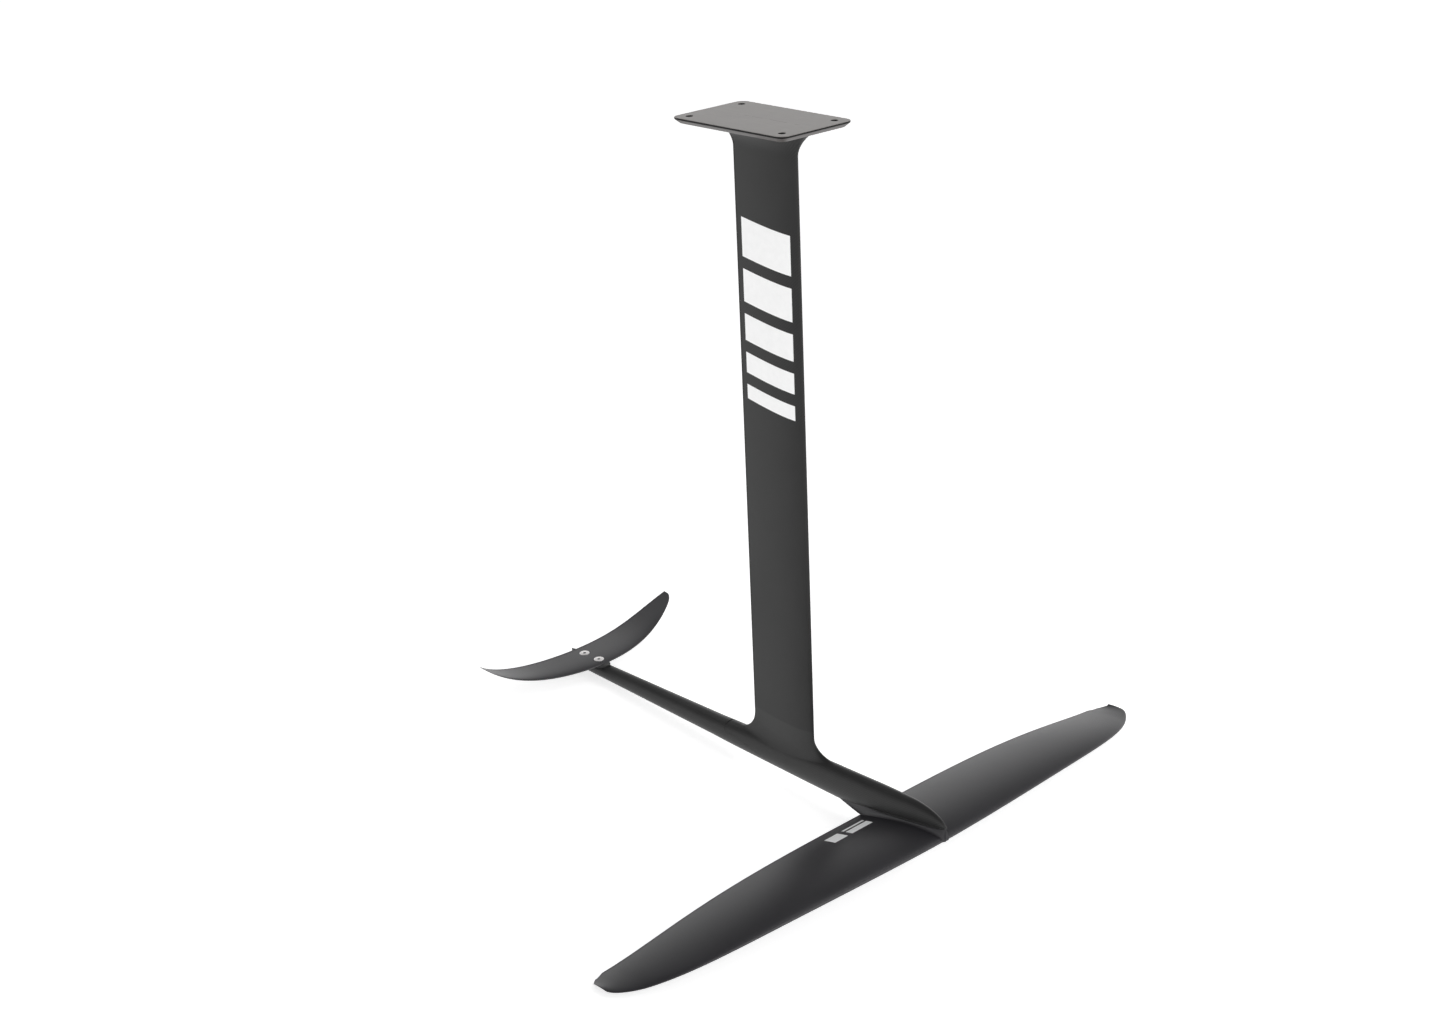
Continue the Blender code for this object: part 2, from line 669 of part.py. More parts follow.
def wing_surface(wing, x, side):
    """Height of the upper (+1) or lower (-1) surface on the centre plane at station x."""
    lead_x, _, trail_x, _ = wing["edges"](0.0)
    fraction = min(1.0, max(0.0, (lead_x - x) / (lead_x - trail_x)))
    _, mean, half = wing_point(wing, 0.0, fraction)
    return mean + side * half


def wing_skin(name, wing, side):
    spans = [-s for s in reversed(wing["spans"][1:])] + list(wing["spans"])
    rings = []
    for s in spans:
        y = s * wing["half_span"]
        points = [wing_point(wing, s, f) for f in cosine_steps(wing["steps"])]
        outer = [(x, y, mean + side * half) for x, mean, half in points]
        inner = [
            (x, y, mean + side * max(half - wing["skin"], GAP / 2))
            for x, mean, half in reversed(points)
        ]
        rings.append(outer + inner)
    return loft(name, rings)


def wing_core(name, wing, spans, fractions):
    """Filler between the skins over the given span fractions and chord fractions."""
    rings = []
    first, last = fractions
    for s in spans:
        y = s * wing["half_span"]
        points = [wing_point(wing, s, lerp(first, last, i / 5)) for i in range(6)]
        upper = [(x, y, mean + half - wing["skin"] - CORE_GAP) for x, mean, half in points]
        lower = [(x, y, mean - half + wing["skin"] + CORE_GAP) for x, mean, half in reversed(points)]
        rings.append(upper + lower)
    return loft(name, rings)


def core_spans(wing, side):
    start = (wing["block"] + GAP) / wing["half_span"]
    inner = [s for s in wing["spans"] if start < s < wing["core_tip"]]
    return [side * s for s in [start] + inner + [wing["core_tip"]]]


def build_wing_shell(prefix, wing, screws, head, up, parent):
    carbon = (CARBON, 0.35)
    upper = wing_skin("upper", wing, 1)
    lower = wing_skin("lower", wing, -1)
    edge = wing["block"] / wing["half_span"]
    block = wing_core("block", wing, (-edge, edge), wing["block_chord"])
    for label, piece in (("upper", upper), ("lower", lower), ("block", block)):
        for place, x in screws.items():
            screw_hole(piece, "%s_%s_%s" % (prefix, label, place), x, head(x), up)
    finish(upper, prefix + "_upper_skin", carbon, parent)
    finish(lower, prefix + "_lower_skin", carbon, parent)
    finish(block, prefix + "_root_block", carbon, parent)
    for label, side in (("port", 1), ("starboard", -1)):
        core = wing_core("core", wing, core_spans(wing, side), wing["core"])
        finish(core, "%s_core_%s" % (prefix, label), (FOAM, 0.9), parent)


def wing_head(x):
    return wing_surface(WING, x, -1) - 0.0002


def stab_head(x):
    return wing_surface(STAB, x, 1) + 0.0002


def build_pedestal(parent):
    """Raised root of the front wing that carries the fuselage."""
    front = PEDESTAL_FRONT
    stations = [WING_STEP + GAP, 0.140, 0.162, 0.172, 0.190, 0.215, 0.240, 0.260, 0.276, 0.288, 0.296]
    stations += [0.301, front]
    rings = []
    for x in stations:
        centre, width, _, _ = fuselage_section(min(x, NOSE - 0.0015))
        reach = max(0.0, (x - 0.235) / (front + 0.0005 - 0.235))
        top = wing_seam(min(x, 0.298)) - GAP * 1.5 - 0.003 * max(0.0, (x - 0.298) / 0.0065)
        upper = lerp(min(width * 0.92, 0.0118 + (x - WING_STEP) * 0.07), width + 0.001, reach)
        over_wing = wing_surface(WING, x, 1) + GAP
        spread = min(1.0, (x - WING_STEP) / 0.046)
        bottom = min(top - 0.0015, lerp(-0.9062, -0.9100, spread) if x < 0.168 else over_wing)
        if x > 0.2995:
            bottom = top - 0.0060
        lower = upper + PEDESTAL_FLARE * spread * math.sqrt(max(0.0, 1 - reach * reach))
        middle = lerp(top, bottom, 0.55)
        rings.append([
            (x, upper, top), (x, upper + 0.0006, middle), (x, lower, bottom),
            (x, -lower, bottom), (x, -upper - 0.0006, middle), (x, -upper, top),
        ])
    pedestal = loft("pedestal", rings)
    for place, x in WING_SCREWS.items():
        modify(pedestal, rod("pedestal_hole_" + place, CLEARANCE_RADIUS, -0.93, -0.87, x))
    finish(pedestal, "front_wing_pedestal", (CARBON, 0.40), parent)


def lens(x, half_width):
    """Half width of the stabiliser's pad: round nose, pointed tail."""
    t = (PAD_FRONT - x) / (PAD_FRONT - PAD_REAR)
    nose = math.sqrt(1 - (max(0.0, PAD_NOSE - t) / PAD_NOSE) ** 2)
    return max(0.0006, half_width * nose * (1 - t ** 4))


def build_stabiliser_seat(parent):
    pad_bottom = SEAT_HEIGHT + GAP + SHIM_THICKNESS + GAP
    lead_x, _, trail_x, _ = stab_edges(0.0)
    stations = [lerp(PAD_REAR, PAD_FRONT, t) for t in cosine_steps(12)]
    stations += [trail_x - 0.0012, trail_x - 0.0003, lead_x + 0.0003, lead_x + 0.0012]
    rings = []
    for x in sorted(stations):
        half = lens(x, PAD_HALF_WIDTH)
        under = wing_surface(STAB, x, -1) - GAP
        free = x > lead_x + 0.0008 or x < trail_x - 0.0008
        top = -0.8700 if free else max(under, pad_bottom + 0.0012)
        rings.append([(x, half, pad_bottom), (x, half, top), (x, -half, top), (x, -half, pad_bottom)])
    pad = loft("pad", rings)
    shim_xs = [lerp(PAD_REAR + 0.004, PAD_FRONT - 0.005, i / 10) for i in range(11)]
    side = [(x, max(0.0015, lens(x, PAD_HALF_WIDTH - 0.001))) for x in shim_xs]
    shim = outline("shim", side + [(x, -y) for x, y in reversed(side)], SHIM_THICKNESS / 2)
    shim.location = (0.0, 0.0, SEAT_HEIGHT + GAP + SHIM_THICKNESS / 2)
    for place, x in STAB_SCREWS.items():
        screw_hole(pad, "pad_hole_" + place, x, stab_head(x), 1)
        screw_hole(shim, "shim_hole_" + place, x, stab_head(x), 1)
    finish(pad, "stabiliser_pad", (CARBON, 0.40), parent)
    finish(shim, "stabiliser_shim", (BLACK_PLASTIC, 0.6), parent)


# ---------------------------------------------------------------- assembly
root = empty("mast_assembly", (0.0, 0.0, 0.0))
boom_pivot = empty("tail_boom_joint", (FOOT_TIP, 0.0, boom_seam(FOOT_TIP)))
wing_pivot = empty("front_wing_joint", (0.213, 0.0, wing_seam(0.213)))
stab_pivot = empty("stabiliser_joint", (-0.410, 0.0, SEAT_HEIGHT))

build_plate(root)
build_mast(root)
build_front_fuselage(root)
build_boom(boom_pivot)
build_wing_shell("front_wing", WING, WING_SCREWS, wing_head, -1, wing_pivot)
build_pedestal(wing_pivot)
build_wing_shell("stabiliser", STAB, STAB_SCREWS, stab_head, 1, stab_pivot)
build_stabiliser_seat(stab_pivot)

for place, x in WING_SCREWS.items():
    threaded_insert("wing_insert_" + place, x, wing_seam(x) + 0.0012, 0.0160, root)
    countersunk_screw("wing_screw_" + place, x, wing_head(x), WING_SCREW_LENGTH, -1, wing_pivot)
for place, x in BOOM_SCREWS.items():
    threaded_insert("boom_insert_" + place, x, boom_seam(x) + 0.0018, 0.0075, root)
    countersunk_screw("boom_screw_" + place, x, boom_head(x), BOOM_SCREW_LENGTHS[place], -1, boom_pivot)
for place, x in STAB_SCREWS.items():
    threaded_insert("stabiliser_insert_" + place, x, SEAT_HEIGHT - GAP, -0.0095, boom_pivot)
    countersunk_screw("stabiliser_screw_" + place, x, stab_head(x), STAB_SCREW_LENGTH, 1, stab_pivot)
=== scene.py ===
"""Looks of the hydrofoil: fine skins, fasteners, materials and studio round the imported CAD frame.

Metres, +Z up, +X forward, +Y to port; the origin is the centre of the board plate's top face.
"""
import json
import math

import bmesh
import bpy
from mathutils import Euler, Matrix, Vector

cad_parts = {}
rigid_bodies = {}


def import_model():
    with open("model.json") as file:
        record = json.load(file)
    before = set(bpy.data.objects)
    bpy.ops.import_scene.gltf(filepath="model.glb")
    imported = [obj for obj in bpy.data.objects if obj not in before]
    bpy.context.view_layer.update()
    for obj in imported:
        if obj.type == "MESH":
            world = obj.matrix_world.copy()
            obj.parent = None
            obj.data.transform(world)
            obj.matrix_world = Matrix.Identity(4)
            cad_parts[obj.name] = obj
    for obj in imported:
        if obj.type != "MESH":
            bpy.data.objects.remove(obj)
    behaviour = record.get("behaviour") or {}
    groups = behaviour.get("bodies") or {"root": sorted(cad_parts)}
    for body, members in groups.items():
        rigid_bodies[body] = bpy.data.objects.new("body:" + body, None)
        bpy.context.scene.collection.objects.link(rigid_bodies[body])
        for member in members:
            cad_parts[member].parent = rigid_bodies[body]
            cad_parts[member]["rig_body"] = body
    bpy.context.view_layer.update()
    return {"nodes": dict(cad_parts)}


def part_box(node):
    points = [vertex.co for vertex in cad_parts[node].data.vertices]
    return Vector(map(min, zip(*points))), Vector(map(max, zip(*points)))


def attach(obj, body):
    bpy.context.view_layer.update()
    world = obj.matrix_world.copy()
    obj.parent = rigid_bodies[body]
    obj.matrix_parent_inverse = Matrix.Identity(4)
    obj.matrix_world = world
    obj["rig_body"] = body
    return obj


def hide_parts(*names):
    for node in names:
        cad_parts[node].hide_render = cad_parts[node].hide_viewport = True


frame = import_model()

# ---------------------------------------------------------------- sizes taken from the frame
PLATE_LOW, PLATE_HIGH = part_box("mounting_plate")
FUSELAGE_LOW, FUSELAGE_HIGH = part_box("front_fuselage")
WING_HALF_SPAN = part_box("front_wing_upper_skin")[1].y
STAB_HALF_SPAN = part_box("stabiliser_upper_skin")[1].y
PAD_LOW, PAD_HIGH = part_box("stabiliser_pad")

PLATE_DEPTH = -PLATE_LOW.z
NOSE = FUSELAGE_HIGH.x
FOOT_TIP = FUSELAGE_LOW.x
MAST_FOOT = FUSELAGE_HIGH.z
BOOM_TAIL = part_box("tail_boom_port")[0].x
WING_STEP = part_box("front_wing_pedestal")[0].x
WING_TIP_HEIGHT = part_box("front_wing_lower_skin")[0].z
SEAT_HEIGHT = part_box("stabiliser_shim")[0].z

# ---------------------------------------------------------------- sizes of the forms
PLATE_CORNER = 0.012
PLATE_EDGE = 0.0024
PLATE_CHAMFER = 0.0055
BOLT_PITCH_X = 0.165
BOLT_PITCH_Y = 0.090
BOLT_HOLE_RADIUS = 0.0045

MAST_LEAD = 0.0622
MAST_TRAIL = -0.0525
MAST_HALF_THICK = 0.0075
MAST_FLARE_DEPTH = 0.033
MAST_FLARE_LEAD = 0.0245
MAST_FLARE_TRAIL = 0.032
MAST_FLARE_SIDE = 0.016

FILLET_LEAD = 0.040       # how far the foot of the mast runs out ahead of its leading edge
FILLET_TRAIL = 0.034
FILLET_SIDE = 0.0055
FILLET_TOP_SIDE = -0.852  # heights where the fillet leaves the mast
FILLET_TOP_LEAD = -0.8400
FILLET_TOP_TRAIL = -0.8375
PEDESTAL_FLARE = 0.0050   # how far the pedestal's sides run out onto the wing
PROW = 0.0050             # forward bulge of its nose, and the level where it is greatest
PROW_LEVEL = 0.66
SEAM_INSET = 0.0009       # pedestal's top edge inside the fuselage's edge
SEAM_GAP = 0.0009
SEAM_LIP = 0.0009         # radius of the moulded lip along the fuselage's lower edge
WING_THICKNESS = 0.12
WING_CAMBER = 0.030
STAB_THICKNESS = 0.095
STAB_CAMBER = -0.010
PAD_HALF_WIDTH = 0.0115
PAD_NOSE = 0.45           # share of its length that the pad's round nose takes
PAD_DARK_BELOW = 0.0022   # depth below the pad's top where its faces take the darker fuselage carbon
STAB_LEAD_ROOT = -0.8715  # height of the stabiliser's edges at its root
STAB_TRAIL_ROOT = -0.8705

SCREW_RADIUS = 0.0038
HEAD_RADIUS = 0.0077
HEAD_CLEARANCE = 0.0009
SOCKET_RADIUS = 0.0027
SOCKET_DEPTH = 0.0030
THREAD_PITCH = 0.00125
THREAD_DEPTH = 0.0006
CLEARANCE_RADIUS = 0.0045

BELOW_ALL = -0.930        # cutters reach from below the fuselage to above the boom
ABOVE_BOOM = -0.840
CUT_HALF_WIDTH = 0.05
INSERT_RUN_IN = 0.020     # how far an insert's bore runs on below it
FLOOR_PIVOT = 0.19        # x where the sloping floor is just under the height of the wing's lowest point


def lerp(a, b, t):
    return a + (b - a) * t


def clamp(value, low=0.0, high=1.0):
    return min(high, max(low, value))


def spread(low, high, count):
    return [lerp(low, high, i / count) for i in range(count + 1)]


def cosine_steps(count):
    """Fractions 0 to 1, close together at both ends."""
    return [0.5 - 0.5 * math.cos(math.pi * i / count) for i in range(count + 1)]


# ---------------------------------------------------------------- mesh helpers
def from_bmesh(mesh, name, sharp=30.0):
    bmesh.ops.recalc_face_normals(mesh, faces=mesh.faces)
    data = bpy.data.meshes.new(name)
    mesh.to_mesh(data)
    mesh.free()
    data.shade_smooth()
    data.set_sharp_from_angle(angle=math.radians(sharp))
    made = bpy.data.objects.new(name, data)
    bpy.context.scene.collection.objects.link(made)
    return made


def loft(name, rings, sharp=30.0):
    """Closed skin through rings of points, all with the same count, capped at both ends."""
    mesh = bmesh.new()
    rows = [[mesh.verts.new(point) for point in ring] for ring in rings]
    count = len(rings[0])
    for row, above in zip(rows, rows[1:]):
        for i in range(count):
            j = (i + 1) % count
            mesh.faces.new((row[i], row[j], above[j], above[i]))
    mesh.faces.new(list(reversed(rows[0])))
    mesh.faces.new(rows[-1])
    return from_bmesh(mesh, name, sharp)


def turned(name, profile, sides=48, sharp=30.0):
    """Solid of revolution about Z through (radius, z) points that start and end on the axis."""
    rings = []
    for radius, z in profile[1:-1]:
        ring = []
        for i in range(sides):
            angle = 2 * math.pi * i / sides
            ring.append((radius * math.cos(angle), radius * math.sin(angle), z))
        rings.append(ring)
    return loft(name, rings, sharp)


def prism(name, outline, low, high, sharp=30.0):
    """Upright prism over an outline of (x, y) points."""
    return loft(name, [[(x, y, low) for x, y in outline], [(x, y, high) for x, y in outline]], sharp)


def side_prism(name, outline, half_width):
    """Prism across the centre plane over an outline of (x, z) points."""
    rings = [[(x, y, z) for x, z in outline] for y in (-half_width, half_width)]
    return loft(name, rings)


def settle(piece, sharp=30.0):
    """Apply a piece's modifiers and shade the result smooth."""
    bpy.context.view_layer.update()
    evaluated = piece.evaluated_get(bpy.context.evaluated_depsgraph_get())
    data = bpy.data.meshes.new_from_object(evaluated)
    piece.modifiers.clear()
    old = piece.data
    piece.data = data
    bpy.data.meshes.remove(old)
    data.name = piece.name
    data.shade_smooth()
    data.set_sharp_from_angle(angle=math.radians(sharp))
    return piece


def cut(piece, cutters, operation="DIFFERENCE", sharp=30.0):
    """Boolean the cutters into the piece and remove them."""
    for cutter in cutters:
        boolean = piece.modifiers.new("cut", "BOOLEAN")
        boolean.operation = operation
        boolean.solver = "EXACT"
        boolean.object = cutter
    settle(piece, sharp)
    for cutter in cutters:
        bpy.data.objects.remove(cutter)
    return piece


def hand_over(piece, body, slot, material, *nodes):
    """Give a piece its material, hang it on its CAD body and let it stand for the CAD nodes."""
    piece.data.materials.clear()
    piece.data.materials.append(material)
    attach(piece, body)
    if nodes:
        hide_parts(*nodes)
    return piece


# ---------------------------------------------------------------- forms
def fuselage_section(x):
    """Centre height, half width, height above and depth below the centre at station x."""
    if x <= -0.125:
        t = (x + 0.125) / -0.220
        radius = lerp(0.0157, 0.0117, t)
        return lerp(-0.8866, -0.8842, t), radius, radius, radius
    if x <= 0.110:
        t = (x + 0.125) / 0.235
        half = lerp(0.0157, 0.0226, t ** 0.7)
        return lerp(-0.8866, -0.8885, t), lerp(0.0157, 0.0160, t), half + 0.0008 * t, half
    top = max(0.0, (x - 0.235) / (NOSE + 0.0005 - 0.235))
    side = max(0.0, (x - 0.180) / (NOSE + 0.0005 - 0.180))
    height = lerp(0.0234, 0.0248, min(1.0, (x - 0.110) / 0.08)) * (1 - top * top) ** 0.6
    width = 0.0160 * (1 - side * side) ** 0.6
    return lerp(-0.8885, -0.8860, side ** 4), width, height, 0.0226


def fuselage_ring(x, sides=64, shrink=0.0):
    centre, width, up, down = fuselage_section(x)
    ring = []
    for i in range(sides):
        angle = 2 * math.pi * i / sides
        height = up if math.sin(angle) >= 0 else down
        ring.append((
            x, (width - shrink) * math.cos(angle), centre + (height - shrink) * math.sin(angle)
        ))
    return ring


def wing_seam(x):
    """Height of the face between the fuselage and the wing's pedestal."""
    back = 0.298 - x
    return -0.8865 - 0.05 * back - 0.30 * back * back


def boom_seam(x):
    """Height of the joint between the mast's foot and the boom's tongue."""
    return -0.8815 - 0.25 * max(0.0, x + 0.078)


def foil_half(fraction, thickness):
    """Half thickness of a four-digit foil section, as a fraction of its chord."""
    root = 0.2969 * math.sqrt(fraction)
    rest = fraction * (-0.1260 + fraction * (-0.3516 + fraction * (0.2843 - 0.1036 * fraction)))
    return 5.0 * thickness * (root + rest)


def tip_closing(s, sharpness):
    return 1.0 - math.sqrt(max(0.0, 1.0 - s ** sharpness))


def wing_edges(s):
    """Leading and trailing edge of the front wing at span fraction s: x, z each."""
    lead_x = 0.3004 - 0.0484 * s ** 1.75 - 0.0420 * s ** 9
    trail_x = 0.1639 - 0.0085 * s ** 2 + 0.0361 * s ** 4 - 0.0373 * s ** 8
    lead_z = -0.9026 - 0.0165 * s ** 2 - 0.0200 * s ** 4
    trail_z = -0.9112 - 0.0130 * s ** 2 - 0.0240 * s ** 4
    lead_cut = 0.0070 * tip_closing(s, 100)
    trail_cut = 0.0235 * min(1.0, max(0.0, (s - 0.940) / 0.056)) ** 2
    tip = max(0.0, (s - 0.92) / 0.08)
    lead_z += 0.0047 * tip ** 1.8
    trail_z += 0.0130 * tip ** 3.5
    return lead_x - lead_cut, lead_z, trail_x + trail_cut, trail_z


def stab_edges(s):
    """Leading and trailing edge of the stabiliser at span fraction s: x, z each."""
    lead_x = -0.3793 - 0.072 * s ** 2 + 0.029 * s ** 4 - 0.007 * s ** 8 - 0.012 * tip_closing(s, 36)
    trail_x = -0.4490 - 0.046 * s ** 2 + 0.043 * s ** 4 + 0.006 * s ** 8
    rise = 0.0385 * s ** 4 - 0.0012 * s ** 2
    return lead_x, STAB_LEAD_ROOT + rise, trail_x, STAB_TRAIL_ROOT + rise


WING = {"edges": wing_edges, "half_span": WING_HALF_SPAN, "thickness": WING_THICKNESS, "camber": WING_CAMBER}
STAB = {"edges": stab_edges, "half_span": STAB_HALF_SPAN, "thickness": STAB_THICKNESS, "camber": STAB_CAMBER}
EDGE_HALF = 0.00035       # half thickness of a trailing edge
TIP_THINNING = 0.35       # share of the thickness lost towards the tips


def wing_point(wing, s, fraction):
    """x, height of the mean line and half thickness at span and chord fractions."""
    lead_x, lead_z, trail_x, trail_z = wing["edges"](abs(s))
    chord = lead_x - trail_x
    mean = lerp(lead_z, trail_z, fraction) + 4 * wing["camber"] * chord * fraction * (1 - fraction)
    half = foil_half(fraction, wing["thickness"]) * chord * (1.0 - TIP_THINNING * s ** 6)
    return lerp(lead_x, trail_x, fraction), mean, max(half, EDGE_HALF * min(1.0, fraction / 0.02))


def wing_surface(wing, x, side, s=0.0):
    """Height of the upper (+1) or lower (-1) surface at station x and span fraction s."""
    lead_x, _, trail_x, _ = wing["edges"](s)
    fraction = clamp((lead_x - x) / (lead_x - trail_x))
    _, mean, half = wing_point(wing, s, fraction)
    return mean + side * half


def wing_shell(name, wing, span_steps, chord_steps):
    """Closed foil from tip to tip, with its thickness rounded off at the very tips."""
    rings = []
    half_spans = [math.sin(math.pi / 2 * i / span_steps) for i in range(span_steps + 1)]
    spans = [-s for s in reversed(half_spans[1:])] + half_spans
    for s in spans:
        y = s * wing["half_span"]
        thin = math.sqrt(max(0.01, 1.0 - clamp((abs(s) - 0.990) / 0.010) ** 2))
        points = [wing_point(wing, s, f) for f in cosine_steps(chord_steps)]
        upper = [(x, y, mean + half * thin) for x, mean, half in reversed(points)]
        lower = [(x, y, mean - half * thin) for x, mean, half in points[1:]]
        rings.append(upper + lower)
    return loft(name, rings, 40.0)


# ---------------------------------------------------------------- plate and mast
def rounded_rectangle(rear, front, half, corner, arc_steps=12):
    points = []
    for cx, cy, start in (
        (front - corner, half - corner, 0.0),
        (rear + corner, half - corner, 90.0),
        (rear + corner, corner - half, 180.0),
        (front - corner, corner - half, 270.0),
    ):
        for i in range(arc_steps + 1):
            angle = math.radians(start + 90.0 * i / arc_steps)
            points.append((cx + corner * math.cos(angle), cy + corner * math.sin(angle)))
    return points


def build_plate():
    """Board plate: square edge, sloping underside edge, four bolt holes with broken edges."""
    edge = PLATE_EDGE
    depth = PLATE_DEPTH
    steps = [
        (0.0, 0.0016), (0.0, 0.0006), (-0.00015, 0.0002), (-0.0005, 0.0),
        (-edge + 0.0003, 0.0), (-edge - 0.0001, 0.0002), (-edge - 0.0006, 0.0006),
        (-depth + 0.0006, PLATE_CHAMFER - 0.0002),
        (-depth, PLATE_CHAMFER + 0.0008), (-depth, PLATE_CHAMFER + 0.0020),
    ]
    rings = []
    for z, inset in steps:
        corners = rounded_rectangle(
            PLATE_LOW.x + inset, PLATE_HIGH.x - inset, PLATE_HIGH.y - inset, PLATE_CORNER - inset / 2
        )
        rings.append([(x, y, z) for x, y in corners])
    plate = loft("board_plate", rings, 25.0)
    wide = BOLT_HOLE_RADIUS + 0.0007
    profile = [
        (0, 0.01), (wide, 0.01), (wide, -0.0001),
        (BOLT_HOLE_RADIUS, -0.0008), (BOLT_HOLE_RADIUS, -0.02), (0, -0.02),
    ]
    holes = []
    for x in (-BOLT_PITCH_X / 2, BOLT_PITCH_X / 2):
        for y in (-BOLT_PITCH_Y / 2, BOLT_PITCH_Y / 2):
            hole = turned("hole", profile)
            hole.location = (x, y, 0.0)
            holes.append(hole)
    return cut(plate, holes, sharp=25.0)


def mast_section(fraction, z):
    """x and half thickness of the mast at a chord fraction and a height."""
    flare = max(0.0, 1.0 + (z + PLATE_DEPTH) / MAST_FLARE_DEPTH) ** 2
    lead = MAST_LEAD + MAST_FLARE_LEAD * flare
    trail = MAST_TRAIL - MAST_FLARE_TRAIL * flare
    half = MAST_HALF_THICK + MAST_FLARE_SIDE * flare
    foil = foil_half(fraction, 1.0) / 0.5
    oval = math.sqrt(max(0.0, 1.0 - (2.0 * fraction - 1.0) ** 2))
    foil = max(foil, 0.05 * min(1, fraction * 20))
    return lerp(lead, trail, fraction), half * lerp(foil, oval, min(1.0, flare))


def mast_ring(z, steps=32):
    port = [mast_section(f, z) for f in cosine_steps(steps)]
    starboard = [(x, -max(y, 0.00015), z) for x, y in reversed(port)]
    return [(x, max(y, 0.00015), z) for x, y in port] + starboard


def build_mast():
    """Mast laminate from the plate down to the fuselage's pylon."""
    levels = [MAST_FOOT, -0.70, -0.56, -0.42, -0.28, -0.16, -0.09, -0.06]
    levels += [-PLATE_DEPTH - MAST_FLARE_DEPTH * (1 - i / 20) for i in range(21)]
    levels[-1] = -PLATE_DEPTH + 0.0001
    return loft("mast_laminate", [mast_ring(z) for z in levels], 40.0)


# ---------------------------------------------------------------- front fuselage
def landing(fraction):
    """Where a fillet of the mast's foot meets the fuselage: x, y and z on the port side."""
    lead = MAST_LEAD + FILLET_LEAD
    trail = MAST_TRAIL - FILLET_TRAIL
    x = lerp(lead, trail, fraction)
    oval = math.sqrt(max(0.0, 1.0 - (2.0 * fraction - 1.0) ** 2))
    y = (MAST_HALF_THICK + FILLET_SIDE) * oval
    centre, width, up, _ = fuselage_section(x)
    return x, y, centre + up * math.sqrt(1.0 - (y / width) ** 2)


def fillet_curve(fraction, steps=10):
    """Points from the mast's side down and out onto the fuselage, on the port side."""
    x0, y0 = mast_section(fraction, MAST_FOOT)
    x3, y3, z3 = landing(fraction)
    ends = (2.0 * fraction - 1.0) ** 4
    start = lerp(FILLET_TOP_SIDE, lerp(FILLET_TOP_LEAD, FILLET_TOP_TRAIL, fraction), ends)
    _, width, up, _ = fuselage_section(x3)
    reach = math.hypot(x3 - x0, y3 - y0)
    out_x, out_y = (x3 - x0) / reach, (y3 - y0) / reach
    slope = -up * y3 / (width ** 2 * math.sqrt(1.0 - (y3 / width) ** 2))
    hold = 0.55
    p0 = (x0, y0, start)
    p1 = (x0, y0, lerp(start, z3, hold))
    p2 = (x3 - out_x * reach * hold, y3 - out_y * reach * hold, z3 - out_y * slope * reach * hold)
    p3 = (x3, y3, z3 - 0.00025)
    points = [(x0, y0, MAST_FOOT)]
    for i in range(steps + 1):
        t = i / steps
        a, b, c, d = (1 - t) ** 3, 3 * t * (1 - t) ** 2, 3 * t * t * (1 - t), t ** 3
        points.append(tuple(a * q0 + b * q1 + c * q2 + d * q3 for q0, q1, q2, q3 in zip(p0, p1, p2, p3)))
    points.append((lerp(x3, 0.0, 0.05), y3 * 0.8, -0.8800))
    return points


def build_pylon():
    """Foot of the mast, running out into the fuselage in a hollow fillet."""
    port = [fillet_curve(f) for f in cosine_steps(32)]
    starboard = [[(x, -y, z) for x, y, z in curve] for curve in reversed(port)]
    return loft("pylon", list(zip(*(port + starboard))))


def foot_outline(grow):
    """Outline of the boom joint's cut, from beyond the foot's round tip to the tongue's end."""
    points = []
    for i in range(9):
        angle = math.radians(180 + 90 * i / 8)
        x = FOOT_TIP + grow + 0.010 * (1 + math.cos(angle))
        points.append((x, boom_seam(FOOT_TIP) + grow + 0.008 * (1 + math.sin(angle))))
    points += [(x, boom_seam(x) + grow) for x in (-0.078, -0.060, -0.040, -0.020, 0.008)]
    return points


def build_seam_lip():
    """Moulded lip along the fuselage's lower edge over the pedestal, fading out aft."""
    tip = NOSE - 0.0012
    stations = [lerp(0.150, tip, math.sin(math.pi / 2 * i / 40)) for i in range(41)]
    side = [(x, fuselage_section(x)[1]) for x in stations]
    path = side + [(x, -y) for x, y in reversed(side)]
    rings = []
    for i, (x, y) in enumerate(path):
        before, after = path[max(0, i - 1)], path[min(len(path) - 1, i + 1)]
        along_x, along_y = after[0] - before[0], after[1] - before[1]
        length = math.hypot(along_x, along_y)
        out_x, out_y = -along_y / length, along_x / length
        radius = lerp(0.0003, SEAM_LIP, clamp((x - 0.150) / 0.10))
        level = wing_seam(min(x, 0.298)) + 0.0011
        ring = []
        for k in range(10):
            angle = 2 * math.pi * k / 10
            reach = radius * math.cos(angle)
            ring.append((x - out_x * reach, y - out_y * reach, level + 1.2 * radius * math.sin(angle)))
        rings.append(ring)
    return loft("seam_lip", rings)


